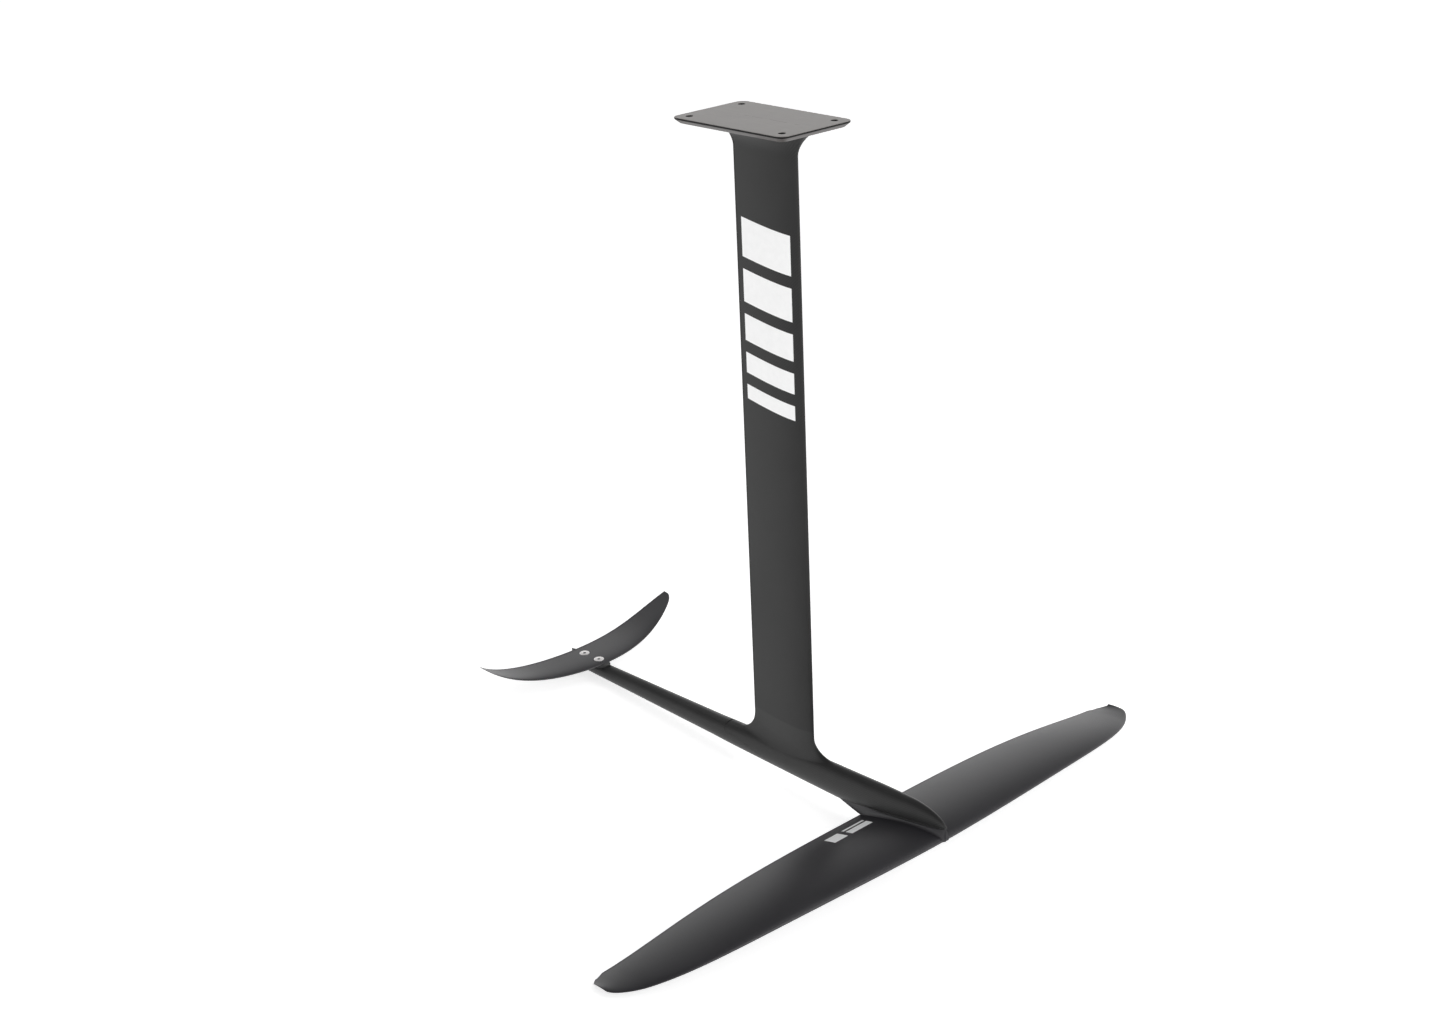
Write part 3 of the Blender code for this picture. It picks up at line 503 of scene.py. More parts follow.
def build_front_fuselage():
    stations = [FOOT_TIP] + spread(-0.100, 0.230, 44) + spread(0.236, 0.290, 18) + spread(0.2915, NOSE, 8)
    body = loft("front_fuselage_skin", [fuselage_ring(x) for x in stations])
    cut(body, [build_pylon()], "UNION")
    under_wing = [(x, wing_seam(x)) for x in spread(WING_STEP, 0.310, 24)]
    under_wing += [(0.310, BELOW_ALL), (WING_STEP, BELOW_ALL)]
    front = 0.008
    over_boom = [(FOOT_TIP - 0.020, BELOW_ALL), (FOOT_TIP - 0.020, ABOVE_BOOM)]
    over_boom += [(FOOT_TIP - 0.002, ABOVE_BOOM), (FOOT_TIP + 0.002, -0.8685)]
    over_boom += foot_outline(0.0) + [(front, BELOW_ALL)]
    cutters = [
        side_prism("wing_face", under_wing, CUT_HALF_WIDTH),
        side_prism("boom_face", over_boom, CUT_HALF_WIDTH),
    ]
    for place in ("rear", "middle", "front"):
        for kind in ("wing", "boom"):
            cutters.append(insert_bore("%s_insert_%s" % (kind, place), INSERT_RUN_IN))
    return cut(body, cutters)


def insert_bore(node, below, above=0.0006):
    """Cutter for the bore that holds a threaded insert, from below its mouth to past its end."""
    low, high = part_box(node)
    radius = (high.y - low.y) / 2 + 0.0002
    profile = [(0, high.z + above), (radius, high.z + above), (radius, low.z - below), (0, low.z - below)]
    bore = turned("bore", profile, 40)
    bore.location = ((low.x + high.x) / 2, 0.0, 0.0)
    return bore


# ---------------------------------------------------------------- tail boom
def screw_hole(node, head_up):
    """Cutter for a screw's clearance hole and countersink, placed from the CAD screw."""
    low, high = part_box(node)
    wide = HEAD_RADIUS + HEAD_CLEARANCE
    drop = wide - CLEARANCE_RADIUS
    profile = [
        (0, 0.02), (wide, 0.02), (wide, -0.0004), (CLEARANCE_RADIUS, -0.0004 - drop),
        (CLEARANCE_RADIUS, -0.06), (0, -0.06),
    ]
    hole = turned("hole", profile, 48)
    hole.location = ((low.x + high.x) / 2, 0.0, high.z if head_up else low.z)
    hole.rotation_euler = (0.0 if head_up else math.pi, 0.0, 0.0)
    return hole


def seat_outline(margin):
    """Outline of the pad, grown by a margin: round nose ahead, straight sides running out aft."""
    full = lerp(PAD_HIGH.x, PAD_LOW.x, PAD_NOSE)
    reach = PAD_HIGH.x - full + margin
    half = PAD_HALF_WIDTH + margin + 0.0005
    points = [(PAD_LOW.x - 0.02, -half)]
    for i in range(-12, 13):
        angle = math.radians(7.5 * i)
        points.append((full + reach * math.cos(angle), half * math.sin(angle)))
    return points + [(PAD_LOW.x - 0.02, half)]


def build_boom():
    stations = [BOOM_TAIL + 0.003 * (1 - math.cos(math.pi / 2 * i / 6)) for i in range(7)]
    stations += spread(-0.445, -0.130, 36) + spread(-0.122, 0.0074, 16)
    rings = [fuselage_ring(x, 48) for x in stations]
    for i in range(6):
        centre = fuselage_section(stations[i])[0]
        scale = lerp(0.55, 1.0, math.sin(math.pi / 2 * i / 6))
        rings[i] = [(x, y * scale, centre + (z - centre) * scale) for x, y, z in rings[i]]
    boom = loft("tail_boom_skin", rings)
    recess = [(FOOT_TIP - 0.0003, ABOVE_BOOM), (FOOT_TIP - 0.0003, boom_seam(FOOT_TIP) + 0.0097)]
    recess += foot_outline(-0.0003) + [(0.020, boom_seam(0.008) - 0.0003), (0.020, ABOVE_BOOM)]
    seat = prism("seat", seat_outline(0.0006), SEAT_HEIGHT - 0.0003, -0.85)
    cutters = [side_prism("recess", recess, CUT_HALF_WIDTH), seat]
    for place in ("rear", "middle", "front"):
        cutters.append(screw_hole("boom_screw_" + place, False))
    for place in ("rear", "front"):
        low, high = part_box("stabiliser_insert_" + place)
        radius = (high.y - low.y) / 2 + 0.0002
        profile = [(0, high.z + 0.02), (radius, high.z + 0.02), (radius, low.z - 0.001), (0, low.z - 0.001)]
        bore = turned("bore", profile, 40)
        bore.location = ((low.x + high.x) / 2, 0.0, 0.0)
        cutters.append(bore)
    return cut(boom, cutters)


# ---------------------------------------------------------------- front wing
def pedestal_half(x):
    """Half width of the pedestal at the seam, a little inside the fuselage's own edge."""
    centre, width, _, down = fuselage_section(x)
    level = clamp((centre - wing_seam(x)) / down)
    return width * math.sqrt(max(0.0, 1.0 - level * level)) - SEAM_INSET


def pedestal_outline(steps=46):
    """Plan of the pedestal's top with outward directions: port side from the rear, then starboard."""
    tip = NOSE - 0.0002
    stations = [lerp(WING_STEP, tip, math.sin(math.pi / 2 * i / steps)) for i in range(steps + 1)]
    port = [(x, max(0.0, pedestal_half(x))) for x in stations]
    port = [point for point in port if point[1] > 0.0005]
    outline = port + [(port[-1][0] + 0.0003, 0.0)] + [(x, -y) for x, y in reversed(port)]
    directed = []
    for i, (x, y) in enumerate(outline):
        before, after = outline[max(0, i - 1)], outline[min(len(outline) - 1, i + 1)]
        along_x, along_y = after[0] - before[0], after[1] - before[1]
        length = math.hypot(along_x, along_y)
        directed.append((x, y, -along_y / length, along_x / length))
    return directed


def prow(level):
    """How far the pedestal's nose bulges forward at a level, 0 at its top and 1 at the wing."""
    if level < PROW_LEVEL:
        return PROW * math.sin(math.pi / 2 * level / PROW_LEVEL)
    return PROW * math.cos(math.pi / 2 * 0.88 * (level - PROW_LEVEL) / (1 - PROW_LEVEL))


def build_pedestal():
    """Raised root of the wing: flat seam face on top, hollow sides running out onto the wing."""
    rings = []
    for level, inset in [(-1.0, -0.0012), (0.0, -0.0003)] + [(0.02 + 0.98 * i / 14, 0.0) for i in range(15)]:
        depth = max(0.0, level)
        hollow = PEDESTAL_FLARE * (1 - math.sqrt(1 - (0.97 * depth) ** 2)) / 0.76
        ring = []
        for x, y, out_x, out_y in pedestal_outline():
            aft = clamp((x - WING_STEP) / 0.046)
            run = lerp(hollow * aft, prow(depth), out_x ** 2) + inset
            side_x = x + out_x * run
            under = lerp(-0.9062, -0.9100, aft)
            land = lerp(under, wing_surface(WING, side_x, 1) - 0.0008, clamp((x - 0.164) / 0.006))
            ring.append((side_x, y + out_y * run, lerp(wing_seam(x) - SEAM_GAP, land, depth)))
        rings.append(ring)
    base = []
    for x, y, z in rings[-1]:
        drop = 0.0016 * clamp((x - 0.170) / 0.01)
        base.append((lerp(x, 0.25, 0.05 * clamp((x - 0.26) / 0.04)), y * 0.92, z - drop))
    pedestal = loft("pedestal", rings + [base])
    bores = []
    for place in ("rear", "middle", "front"):
        low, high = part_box("wing_screw_" + place)
        bore = turned("bore", [(0, -0.88), (CLEARANCE_RADIUS, -0.88), (CLEARANCE_RADIUS, -0.93), (0, -0.93)])
        bore.location = ((low.x + high.x) / 2, 0.0, 0.0)
        bores.append(bore)
    return cut(pedestal, bores)


def build_front_wing():
    wing = wing_shell("front_wing_shell", WING, 70, 36)
    return cut(wing, [screw_hole("wing_screw_" + place, False) for place in ("rear", "middle", "front")])


# ---------------------------------------------------------------- stabiliser
def pad_half(x):
    """Half width of the pad: round nose, and a tail drawn out to a hollow-sided point."""
    t = (PAD_HIGH.x - x) / (PAD_HIGH.x - PAD_LOW.x)
    nose = math.sqrt(1 - (max(0.0, PAD_NOSE - t) / PAD_NOSE) ** 2)
    tail = clamp((t - 0.80) / 0.20)
    return max(0.0004, PAD_HALF_WIDTH * nose * (1 - tail) ** 1.9)


def build_stabiliser():
    """Stabiliser shell with the pad under its root moulded on, and the two screw holes."""
    shell = wing_shell("stabiliser_shell", STAB, 48, 30)
    rings = []
    for f in cosine_steps(40):
        x = lerp(PAD_LOW.x, PAD_HIGH.x, f)
        half = pad_half(x)
        inside = stab_edges(0.0)[2] < x < stab_edges(0.0)[0]
        top = wing_surface(STAB, x, 1) - 0.0015 if inside else STAB_TRAIL_ROOT
        ends = min(1.0, (f * (1 - f)) * 14)
        low = PAD_LOW.z
        bead = 0.0008 * ends
        rings.append([
            (x, half - bead, low), (x, half, low + bead), (x, half, top),
            (x, -half, top), (x, -half, low + bead), (x, bead - half, low),
        ])
    cut(shell, [loft("pad", rings)], "UNION", 40.0)
    holes = [screw_hole("stabiliser_screw_" + place, True) for place in ("rear", "front")]
    return cut(shell, holes, sharp=40.0)


# ---------------------------------------------------------------- fasteners
def thread_radius(radius, angle, z, sign=1.0):
    """Radius on a 60 degree thread form at an angle and a height."""
    turn = (z / THREAD_PITCH - sign * angle / (2 * math.pi)) % 1.0
    return radius - THREAD_DEPTH * (1.0 - abs(2.0 * turn - 1.0))


def build_screw(node, head_up):
    """Countersunk screw with a threaded shank and a hexagon socket, in place of the CAD screw."""
    low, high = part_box(node)
    length = high.z - low.z
    cone = HEAD_RADIUS - SCREW_RADIUS
    sides = 32
    profile = [
        (HEAD_RADIUS - 0.0006, 0.0), (HEAD_RADIUS - 0.0002, -0.0001), (HEAD_RADIUS, -0.0004),
        (HEAD_RADIUS - 0.0002, -0.0006), (SCREW_RADIUS, -0.0004 - cone), (SCREW_RADIUS, -0.0016 - cone),
    ]
    heads = len(profile)
    count = int((length - cone - 0.0026) / (THREAD_PITCH / 5))
    profile += [(SCREW_RADIUS, -0.0016 - cone - i * THREAD_PITCH / 5) for i in range(1, count + 1)]
    rings = []
    for level, (radius, z) in enumerate(profile):
        ring = []
        for i in range(sides):
            angle = 2 * math.pi * i / sides
            r = thread_radius(radius, angle, z) if level >= heads else radius
            ring.append((r * math.cos(angle), r * math.sin(angle), z))
        rings.append(ring)
    tip = SCREW_RADIUS - THREAD_DEPTH - 0.0004
    rings.append([(tip * math.cos(2 * math.pi * i / sides), tip * math.sin(2 * math.pi * i / sides), -length)
                  for i in range(sides)])
    screw = loft(node + "_detail", rings, 35.0)
    corners = [math.radians(60 * i) for i in range(6)]
    hexagon = [(SOCKET_RADIUS * math.cos(a), SOCKET_RADIUS * math.sin(a)) for a in corners]
    mouth = [(1.18 * x, 1.18 * y, 0.0002) for x, y in hexagon]
    throat = [(x, y, -0.0004) for x, y in hexagon]
    floor = [(x, y, -SOCKET_DEPTH) for x, y in hexagon]
    point = [(0.2 * x, 0.2 * y, -SOCKET_DEPTH - 0.0009) for x, y in hexagon]
    cut(screw, [loft("socket", [mouth, throat, floor, point])], sharp=35.0)
    screw.location = ((low.x + high.x) / 2, 0.0, high.z if head_up else low.z)
    screw.rotation_euler = (0.0 if head_up else math.pi, 0.0, 0.0)
    return screw


def build_insert(node):
    """Threaded bush with a knurled outside and a plain collar at each end."""
    low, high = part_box(node)
    radius = (high.y - low.y) / 2
    sides = 48
    rings = []
    depth = high.z - low.z
    for f in (0.0, 0.04, 0.10, 0.101, 0.30, 0.301, 0.35, 0.351, 0.90, 0.901, 0.96, 1.0):
        ring = []
        for i in range(sides):
            angle = 2 * math.pi * i / sides
            groove = 0.00035 if 0.10 < f < 0.90 and (i % 2 or 0.30 < f < 0.351) else 0.0
            edge = 0.0003 if f in (0.0, 1.0) else 0.0
            r = radius - groove - edge
            ring.append((r * math.cos(angle), r * math.sin(angle), low.z + f * depth))
        rings.append(ring)
    bush = loft(node + "_detail", rings, 20.0)
    bore_rings = []
    count = int((depth + 0.002) / (THREAD_PITCH / 5))
    for level in range(count + 1):
        z = low.z - 0.001 + level * THREAD_PITCH / 5
        ring = []
        for i in range(24):
            angle = 2 * math.pi * i / 24
            r = thread_radius(0.0046, angle, z)
            ring.append((r * math.cos(angle), r * math.sin(angle), z))
        bore_rings.append(ring)
    cut(bush, [loft("bore", bore_rings)], sharp=35.0)
    bush.location = ((low.x + high.x) / 2, 0.0, 0.0)
    return bush


# ---------------------------------------------------------------- graphics
def build_mast_bar(name, top, bottom, slant, first, last):
    """White bar on the mast's starboard side: a thin patch between two heights and chord fractions."""
    lift = 0.00012
    rings = []
    steps = 20
    for f in spread(first, last, steps):
        x, half = mast_section(f, -0.3)
        shift = slant * (f - 0.5)
        y = -half
        rings.append([
            (x, y - lift, top + shift), (x, y + 0.0006, top + shift),
            (x, y + 0.0006, bottom + shift), (x, y - lift, bottom + shift),
        ])
    return loft(name, rings)


def build_wing_bar(name, x_front, x_rear, y_near, y_far):
    """Small white bar on the starboard side of the wing's upper surface."""
    rings = []
    for y in spread(y_near, y_far, 8):
        s = abs(y) / WING_HALF_SPAN
        upper = [(x, y, wing_surface(WING, x, 1, s) + 0.00012) for x in spread(x_front, x_rear, 6)]
        lower = [(x, y, wing_surface(WING, x, 1, s) - 0.0003) for x in spread(x_rear, x_front, 6)]
        rings.append(upper + lower)
    return loft(name, rings)


# ---------------------------------------------------------------- materials
class Nodes:
    """Small helper that adds and links nodes in one material."""

    def __init__(self, name):
        self.material = bpy.data.materials.new(name)
        self.material.use_nodes = True
        self.tree = self.material.node_tree
        self.shader = self.tree.nodes["Principled BSDF"]

    def add(self, kind, **settings):
        node = self.tree.nodes.new(kind)
        for key, value in settings.items():
            setattr(node, key, value)
        return node

    def feed(self, socket, value):
        if isinstance(value, (int, float, tuple)):
            socket.default_value = value
        else:
            self.tree.links.new(value, socket)

    def math(self, operation, *values):
        node = self.add("ShaderNodeMath", operation=operation)
        for socket, value in zip(node.inputs, values):
            self.feed(socket, value)
        return node.outputs[0]

    def coordinates(self):
        """x, y and z of the surface point, in metres, in the piece's own frame."""
        place = self.add("ShaderNodeTexCoord")
        split = self.add("ShaderNodeSeparateXYZ")
        self.feed(split.inputs[0], place.outputs["Object"])
        return place.outputs["Object"], split.outputs[0], split.outputs[1], split.outputs[2]

    def noise(self, vector, scale, detail=3.0, roughness=0.5):
        node = self.add("ShaderNodeTexNoise")
        self.feed(node.inputs["Vector"], vector)
        node.inputs["Scale"].default_value = scale
        node.inputs["Detail"].default_value = detail
        node.inputs["Roughness"].default_value = roughness
        return node.outputs["Fac"]

    def between(self, factor, low, high):
        """Value from low to high as the factor goes from 0 to 1."""
        node = self.add("ShaderNodeMapRange")
        self.feed(node.inputs["Value"], factor)
        self.feed(node.inputs["To Min"], low)
        self.feed(node.inputs["To Max"], high)
        return node.outputs[0]

    def blend(self, factor, first, second):
        node = self.add("ShaderNodeMix", data_type="RGBA")
        self.feed(node.inputs[0], factor)
        self.feed(node.inputs[6], first)
        self.feed(node.inputs[7], second)
        return node.outputs[2]

    def bump(self, height, strength, distance, base=None):
        node = self.add("ShaderNodeBump")
        node.inputs["Strength"].default_value = strength
        node.inputs["Distance"].default_value = distance
        self.feed(node.inputs["Height"], height)
        if base is not None:
            self.feed(node.inputs["Normal"], base)
        return node.outputs[0]


def twill(nodes, u, v, tow):
    """Twill weave over two coordinates in metres: which tow lies on top, and the cloth's height."""
    across = nodes.math("DIVIDE", u, tow)
    along = nodes.math("DIVIDE", v, tow)
    cell = nodes.math("SUBTRACT", nodes.math("FLOOR", across), nodes.math("FLOOR", along))
    step = nodes.math("FRACT", nodes.math("DIVIDE", cell, 4.0))
    warp = nodes.math("LESS_THAN", step, 0.5)
    ridge_u = nodes.math("SINE", nodes.math("MULTIPLY", nodes.math("FRACT", across), math.pi))
    ridge_v = nodes.math("SINE", nodes.math("MULTIPLY", nodes.math("FRACT", along), math.pi))
    rest = nodes.math("SUBTRACT", 1.0, warp)
    height = nodes.math("ADD", nodes.math("MULTIPLY", warp, ridge_u), nodes.math("MULTIPLY", rest, ridge_v))
    return warp, height


def carbon(name, plane, dark, light, contrast, tow=0.0010, rough=(0.36, 0.48), weave=0.35, shine=0.34):
    """Matt carbon laminate: twill cloth under a thin resin surface."""
    nodes = Nodes(name)
    vector, x, y, z = nodes.coordinates()
    if plane == "XZ":
        u, v = x, z
    elif plane == "XY":
        u, v = x, y
    else:
        u = x
        v = nodes.math("SUBTRACT", z, nodes.math("MULTIPLY", nodes.math("ABSOLUTE", y), 0.8))
    warp, height = twill(nodes, u, v, tow)
    cloud = nodes.noise(vector, 14.0, 4.0, 0.6)
    grain = nodes.noise(vector, 2600.0, 2.0, 0.6)
    tone = nodes.math("ADD", nodes.math("MULTIPLY", warp, contrast), nodes.math("MULTIPLY", cloud, 0.7))
    tone = nodes.math("ADD", tone, nodes.math("MULTIPLY", grain, 0.25))
    nodes.feed(nodes.shader.inputs["Base Color"], nodes.blend(tone, dark, light))
    matt = nodes.math("ADD", nodes.math("MULTIPLY", warp, 0.4), nodes.math("MULTIPLY", cloud, 0.6))
    nodes.feed(nodes.shader.inputs["Roughness"], nodes.between(matt, rough[0], rough[1]))
    cloth = nodes.bump(height, weave, 0.00006)
    nodes.feed(nodes.shader.inputs["Normal"], nodes.bump(grain, 0.08, 0.00005, cloth))
    nodes.shader.inputs["Specular IOR Level"].default_value = shine
    return nodes.material


def plate_laminate():
    """Satin moulded plate: brownish grey resin with fine fore-and-aft grain and a seam down the middle, with
    painted shade on its square edge and underside.
    """
    nodes = Nodes("plate_laminate")
    vector, x, y, z = nodes.coordinates()
    stretch = nodes.add("ShaderNodeMapping")
    stretch.inputs["Scale"].default_value = (6.0, 60.0, 60.0)
    nodes.feed(stretch.inputs["Vector"], vector)
    streak = nodes.noise(stretch.outputs[0], 3.0, 5.0, 0.65)
    cloud = nodes.noise(vector, 30.0, 3.0, 0.5)
    fine = nodes.noise(vector, 1800.0, 2.0, 0.6)
    tone = nodes.math("ADD", nodes.math("MULTIPLY", streak, 0.6), nodes.math("MULTIPLY", cloud, 0.5))
    tone = nodes.math("ADD", tone, nodes.math("MULTIPLY", fine, 0.15))
    base = nodes.blend(tone, (0.102, 0.094, 0.089, 1.0), (0.262, 0.244, 0.233, 1.0))
    wander = nodes.math("MULTIPLY", nodes.math("SUBTRACT", cloud, 0.5), 0.006)
    off = nodes.math("ABSOLUTE", nodes.math("ADD", y, wander))
    reach = nodes.math("LESS_THAN", nodes.math("ABSOLUTE", nodes.math("SUBTRACT", x, 0.012)), 0.055)
    near = nodes.math("MULTIPLY", nodes.math("LESS_THAN", off, 0.0007), reach)
    patchy = nodes.math("GREATER_THAN", nodes.noise(vector, 45.0, 2.0, 0.5), 0.47)
    seam = nodes.math("MULTIPLY", nodes.math("MULTIPLY", near, patchy), 0.45)
    face = nodes.blend(seam, base, (0.03, 0.028, 0.027, 1.0))
    # Painted shade: the square edge is coloured near black and the chamfer and underside dark brown, for the
    # shade on these downward faces.
    below = nodes.math("LESS_THAN", z, -0.0004)
    above = nodes.math("GREATER_THAN", z, -PLATE_EDGE - 0.0002)
    rim = nodes.math("MULTIPLY", below, above)
    under = nodes.math("SUBTRACT", 1.0, above)
    face = nodes.blend(under, face, (0.050, 0.044, 0.042, 1.0))
    nodes.feed(nodes.shader.inputs["Base Color"], nodes.blend(rim, face, (0.006, 0.006, 0.006, 1.0)))
    nodes.feed(nodes.shader.inputs["Specular IOR Level"], nodes.between(rim, 0.5, 0.12))
    nodes.feed(nodes.shader.inputs["Roughness"], nodes.between(tone, 0.34, 0.46))
    nodes.feed(nodes.shader.inputs["Normal"], nodes.bump(streak, 0.10, 0.0002))
    return nodes.material


def blasted_steel(name, dark, light):
    """Bead-blasted stainless steel of the screws, clean on the head; the near-black copy made with it for
    inside the socket is painted shade.
    """
    nodes = Nodes(name)
    vector = nodes.coordinates()[0]
    fine = nodes.noise(vector, 3500.0, 3.0, 0.7)
    cloud = nodes.noise(vector, 400.0, 2.0, 0.5)
    nodes.feed(nodes.shader.inputs["Base Color"], nodes.blend(cloud, dark, light))
    nodes.feed(nodes.shader.inputs["Roughness"], nodes.between(fine, 0.30, 0.50))
    nodes.feed(nodes.shader.inputs["Normal"], nodes.bump(fine, 0.15, 0.00003))
    nodes.shader.inputs["Metallic"].default_value = 0.8
    return nodes.material


def brass():
    """Machined brass of the threaded inserts."""
    nodes = Nodes("machined_brass")
    vector = nodes.coordinates()[0]
    rings = nodes.add("ShaderNodeTexNoise")
    nodes.feed(rings.inputs["Vector"], vector)
    rings.inputs["Scale"].default_value = 900.0
    tone = nodes.blend(rings.outputs["Fac"], (0.50, 0.36, 0.13, 1.0), (0.66, 0.52, 0.24, 1.0))
    nodes.feed(nodes.shader.inputs["Base Color"], tone)
    nodes.feed(nodes.shader.inputs["Roughness"], nodes.between(rings.outputs["Fac"], 0.22, 0.42))
    nodes.shader.inputs["Metallic"].default_value = 1.0
    return nodes.material


def foam():
    """Closed-cell structural foam of the fillers."""
    nodes = Nodes("structural_foam")
    vector = nodes.coordinates()[0]
    cells = nodes.add("ShaderNodeTexVoronoi")
    nodes.feed(cells.inputs["Vector"], vector)
    cells.inputs["Scale"].default_value = 1400.0
    tone = nodes.blend(cells.outputs["Distance"], (0.52, 0.46, 0.28, 1.0), (0.70, 0.64, 0.44, 1.0))
    nodes.feed(nodes.shader.inputs["Base Color"], tone)
    nodes.feed(nodes.shader.inputs["Roughness"], nodes.between(cells.outputs["Distance"], 0.8, 0.95))
    nodes.feed(nodes.shader.inputs["Normal"], nodes.bump(cells.outputs["Distance"], 0.3, 0.0002))
    return nodes.material


def moulded_plastic():
    """Black moulded plastic of the stabiliser's shim."""
    nodes = Nodes("moulded_plastic")
    vector = nodes.coordinates()[0]
    fine = nodes.noise(vector, 1500.0, 3.0, 0.6)
    tone = nodes.blend(fine, (0.012, 0.012, 0.013, 1.0), (0.028, 0.028, 0.030, 1.0))
    nodes.feed(nodes.shader.inputs["Base Color"], tone)
    nodes.feed(nodes.shader.inputs["Roughness"], nodes.between(fine, 0.45, 0.65))
    nodes.feed(nodes.shader.inputs["Normal"], nodes.bump(fine, 0.2, 0.00005))
    return nodes.material


def white_ink():
    """White screen print, a little worn."""
    nodes = Nodes("white_print")
    vector = nodes.coordinates()[0]
    cloud = nodes.noise(vector, 120.0, 4.0, 0.6)
    tone = nodes.blend(cloud, (0.83, 0.83, 0.83, 1.0), (0.92, 0.92, 0.92, 1.0))
    nodes.feed(nodes.shader.inputs["Base Color"], tone)
    nodes.feed(nodes.shader.inputs["Roughness"], nodes.between(cloud, 0.45, 0.6))
    return nodes.material


# ---------------------------------------------------------------- studio
def build_camera():
    data = bpy.data.cameras.new("camera")
    data.sensor_width = 36.0
    data.lens = 55.2
    camera = bpy.data.objects.new("camera", data)
    bpy.context.scene.collection.objects.link(camera)
    azimuth, elevation, roll = math.radians(47.854), math.radians(22.045), math.radians(-2.488)
    camera.rotation_mode = "XYZ"
    upright = Euler((math.pi / 2 - elevation, 0.0, azimuth)).to_matrix()
    turn = Matrix.Rotation(roll, 3, "Z")
    camera.rotation_euler = (upright @ turn).to_euler()
    camera.location = (1.9688, -1.8747, 0.5753)
    bpy.context.scene.camera = camera
    return camera


def area_light(name, location, target, size, power):
    data = bpy.data.lights.new(name, "AREA")
    data.shape = "RECTANGLE"
    data.size, data.size_y = size
    data.energy = power
    lamp = bpy.data.objects.new(name, data)
    bpy.context.scene.collection.objects.link(lamp)
    lamp.location = location
    lamp.rotation_euler = (Vector(target) - Vector(location)).to_track_quat("-Z", "Y").to_euler()
    return lamp


def build_studio():
    """Pale floor sloping up from the wing's tips to the tail, white surroundings and soft boxes."""
    mesh = bmesh.new()
    bmesh.ops.create_grid(mesh, x_segments=1, y_segments=1, size=14.0)
    floor = from_bmesh(mesh, "floor")
    centre, _, _, down = fuselage_section(BOOM_TAIL)
    pitch = math.atan2(centre - down - WING_TIP_HEIGHT, FLOOR_PIVOT - BOOM_TAIL)
    floor.rotation_euler = (0.0, pitch, 0.0)
    floor.location = (FLOOR_PIVOT, 0.0, WING_TIP_HEIGHT - 0.0006)
    nodes = Nodes("floor_paper")
    nodes.shader.inputs["Base Color"].default_value = (0.90, 0.90, 0.90, 1.0)
    nodes.shader.inputs["Emission Color"].default_value = (1.0, 1.0, 1.0, 1.0)
    nodes.shader.inputs["Emission Strength"].default_value = 0.64
    nodes.shader.inputs["Roughness"].default_value = 0.9
    nodes.shader.inputs["Specular IOR Level"].default_value = 0.1
    floor.data.materials.append(nodes.material)

    world = bpy.data.worlds.new("studio")
    world.use_nodes = True
    tree = world.node_tree
    background = tree.nodes["Background"]
    background.inputs["Color"].default_value = (1.0, 1.0, 1.0, 1.0)
    direction = tree.nodes.new("ShaderNodeTexCoord")
    split = tree.nodes.new("ShaderNodeSeparateXYZ")
    fade = tree.nodes.new("ShaderNodeMapRange")
    fade.interpolation_type = "SMOOTHSTEP"
    fade.inputs["From Min"].default_value = 0.05
    fade.inputs["From Max"].default_value = 0.70
    fade.inputs["To Min"].default_value = 1.60
    fade.inputs["To Max"].default_value = 0.22
    tree.links.new(direction.outputs["Generated"], split.inputs[0])
    tree.links.new(split.outputs[2], fade.inputs["Value"])
    tree.links.new(fade.outputs[0], background.inputs["Strength"])
    bpy.context.scene.world = world
    area_light("front_box", (2.6, 0.6, 0.4), (0.0, 0.0, -0.6), (1.6, 2.2), 28.0)
    area_light("top_box", (0.9, 1.0, 1.0), (0.1, 0.0, -0.85), (0.6, 1.2), 6.0)
    area_light("rim_box", (-0.9, 0.1, 0.6), (0.0, 0.0, -0.85), (0.5, 1.4), 1.5)


# ---------------------------------------------------------------- assembly
build_camera()
MAST_CARBON = carbon(
    "mast_carbon", "XZ", (0.0065, 0.0065, 0.0065, 1), (0.019, 0.019, 0.019, 1), 0.45, shine=0.25,
)
FUSELAGE_CARBON = carbon("fuselage_carbon", "ROUND", (0.006, 0.006, 0.006, 1), (0.017, 0.017, 0.017, 1), 0.45)
WING_CARBON = carbon(
    "wing_carbon", "XY", (0.013, 0.0125, 0.0145, 1), (0.026, 0.025, 0.029, 1), 0.15, weave=0.15, shine=0.42,
)
# Painted sheen: the stabiliser's carbon is a lighter copy of the wing's, its extra lightness standing in for
# the sheen on its top seen at a grazing angle.
SHEEN_LIGHTENED_STAB_CARBON = carbon(
    "stabiliser_carbon_painted_sheen", "XY", (0.028, 0.0275, 0.0295, 1), (0.053, 0.052, 0.056, 1), 0.15,
    weave=0.15, shine=0.45,
)
STEEL = blasted_steel("blasted_steel", (0.86, 0.84, 0.83, 1.0), (0.96, 0.94, 0.93, 1.0))
# Near-black steel for inside the hex sockets: painted shade in the recess.
PAINTED_SHADE_SOCKET_STEEL = blasted_steel("painted_shade_socket_steel", (0.06, 0.06, 0.06, 1.0), (0.12, 0.12, 0.12, 1.0))
BRASS = brass()
FOAM = foam()
PLASTIC = moulded_plastic()
INK = white_ink()

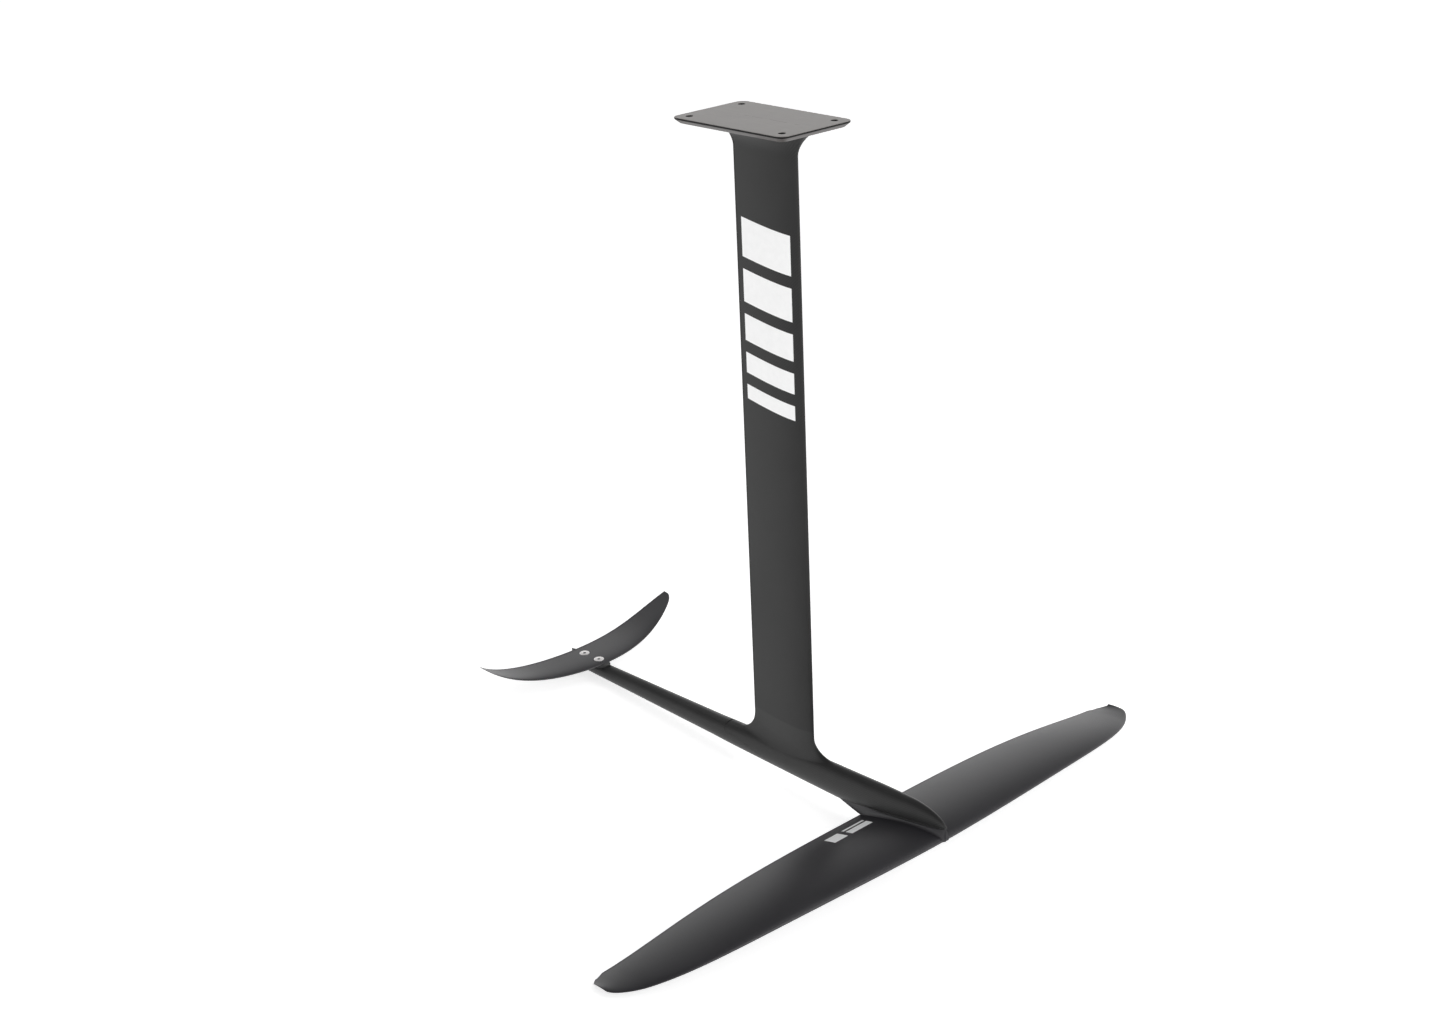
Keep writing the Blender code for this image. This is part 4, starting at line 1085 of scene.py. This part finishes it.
hand_over(build_plate(), "mast_assembly", "plate", plate_laminate(), "mounting_plate")
hand_over(build_mast(), "mast_assembly", "carbon_twill", MAST_CARBON, "mast_skin_port", "mast_skin_starboard")
hand_over(build_front_fuselage(), "mast_assembly", "carbon_twill", FUSELAGE_CARBON, "front_fuselage")
hand_over(build_boom(), "tail_boom", "carbon_twill", FUSELAGE_CARBON, "tail_boom_port", "tail_boom_starboard")
hand_over(build_seam_lip(), "mast_assembly", "carbon_twill", FUSELAGE_CARBON)
hand_over(
    build_front_wing(), "front_wing", "carbon_satin", WING_CARBON,
    "front_wing_upper_skin", "front_wing_lower_skin",
)
hand_over(build_pedestal(), "front_wing", "carbon_satin", WING_CARBON, "front_wing_pedestal")
stabiliser = hand_over(
    build_stabiliser(), "stabiliser", "carbon_satin", SHEEN_LIGHTENED_STAB_CARBON,
    "stabiliser_upper_skin", "stabiliser_lower_skin", "stabiliser_pad",
)
# The pad's faces below that depth and its nose ahead of the leading edge take the darker fuselage carbon.
stabiliser.data.materials.append(FUSELAGE_CARBON)
for face in stabiliser.data.polygons:
    takes_darker_carbon = face.center.z < PAD_HIGH.z - PAD_DARK_BELOW or face.center.x > stab_edges(0.0)[0] + 0.0005
    if takes_darker_carbon and abs(face.center.y) <= PAD_HALF_WIDTH:
        face.material_index = 1
for node in frame["nodes"]:
    owner = frame["nodes"][node]["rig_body"]
    if "_screw_" in node:
        screw = hand_over(build_screw(node, node.startswith("stabiliser")), owner, "stainless", STEEL, node)
        screw.data.materials.append(PAINTED_SHADE_SOCKET_STEEL)
        # Painted shade: the faces inside the hex socket take the near-black steel.
        for face in screw.data.polygons:
            if face.center.xy.length < SOCKET_RADIUS and -0.0006 > face.center.z > -SOCKET_DEPTH - 0.002:
                face.material_index = 1
    elif "_insert_" in node:
        hand_over(build_insert(node), owner, "brass", BRASS, node)
    elif "_core" in node or "_core_" in node:
        frame["nodes"][node].data.materials.clear()
        frame["nodes"][node].data.materials.append(FOAM)
    elif node == "stabiliser_shim":
        frame["nodes"][node].data.materials.clear()
        frame["nodes"][node].data.materials.append(PLASTIC)
    elif node in ("mast_spar", "front_wing_root_block", "stabiliser_root_block"):
        frame["nodes"][node].data.materials.clear()
        frame["nodes"][node].data.materials.append(MAST_CARBON)

BARS = [(-0.135, 0.052), (-0.203, 0.044), (-0.263, 0.036), (-0.315, 0.028), (-0.359, 0.020)]
for number, (top, height) in enumerate(BARS, 1):
    bar = build_mast_bar("mast_graphic_bar_%d" % number, top, top - height, 0.012, 0.10, 0.90)
    hand_over(bar, "mast_assembly", "carbon_twill", INK)
for number, (x_front, x_rear) in enumerate([(0.202, 0.190), (0.186, 0.182)], 1):
    bar = build_wing_bar("wing_graphic_bar_%d" % number, x_front, x_rear, -0.033, -0.072)
    hand_over(bar, "front_wing", "carbon_satin", INK)

square = build_wing_bar("wing_graphic_square", 0.202, 0.182, -0.080, -0.104)
hand_over(square, "front_wing", "carbon_satin", INK)

build_studio()
bpy.context.scene.view_settings.view_transform = "Standard"
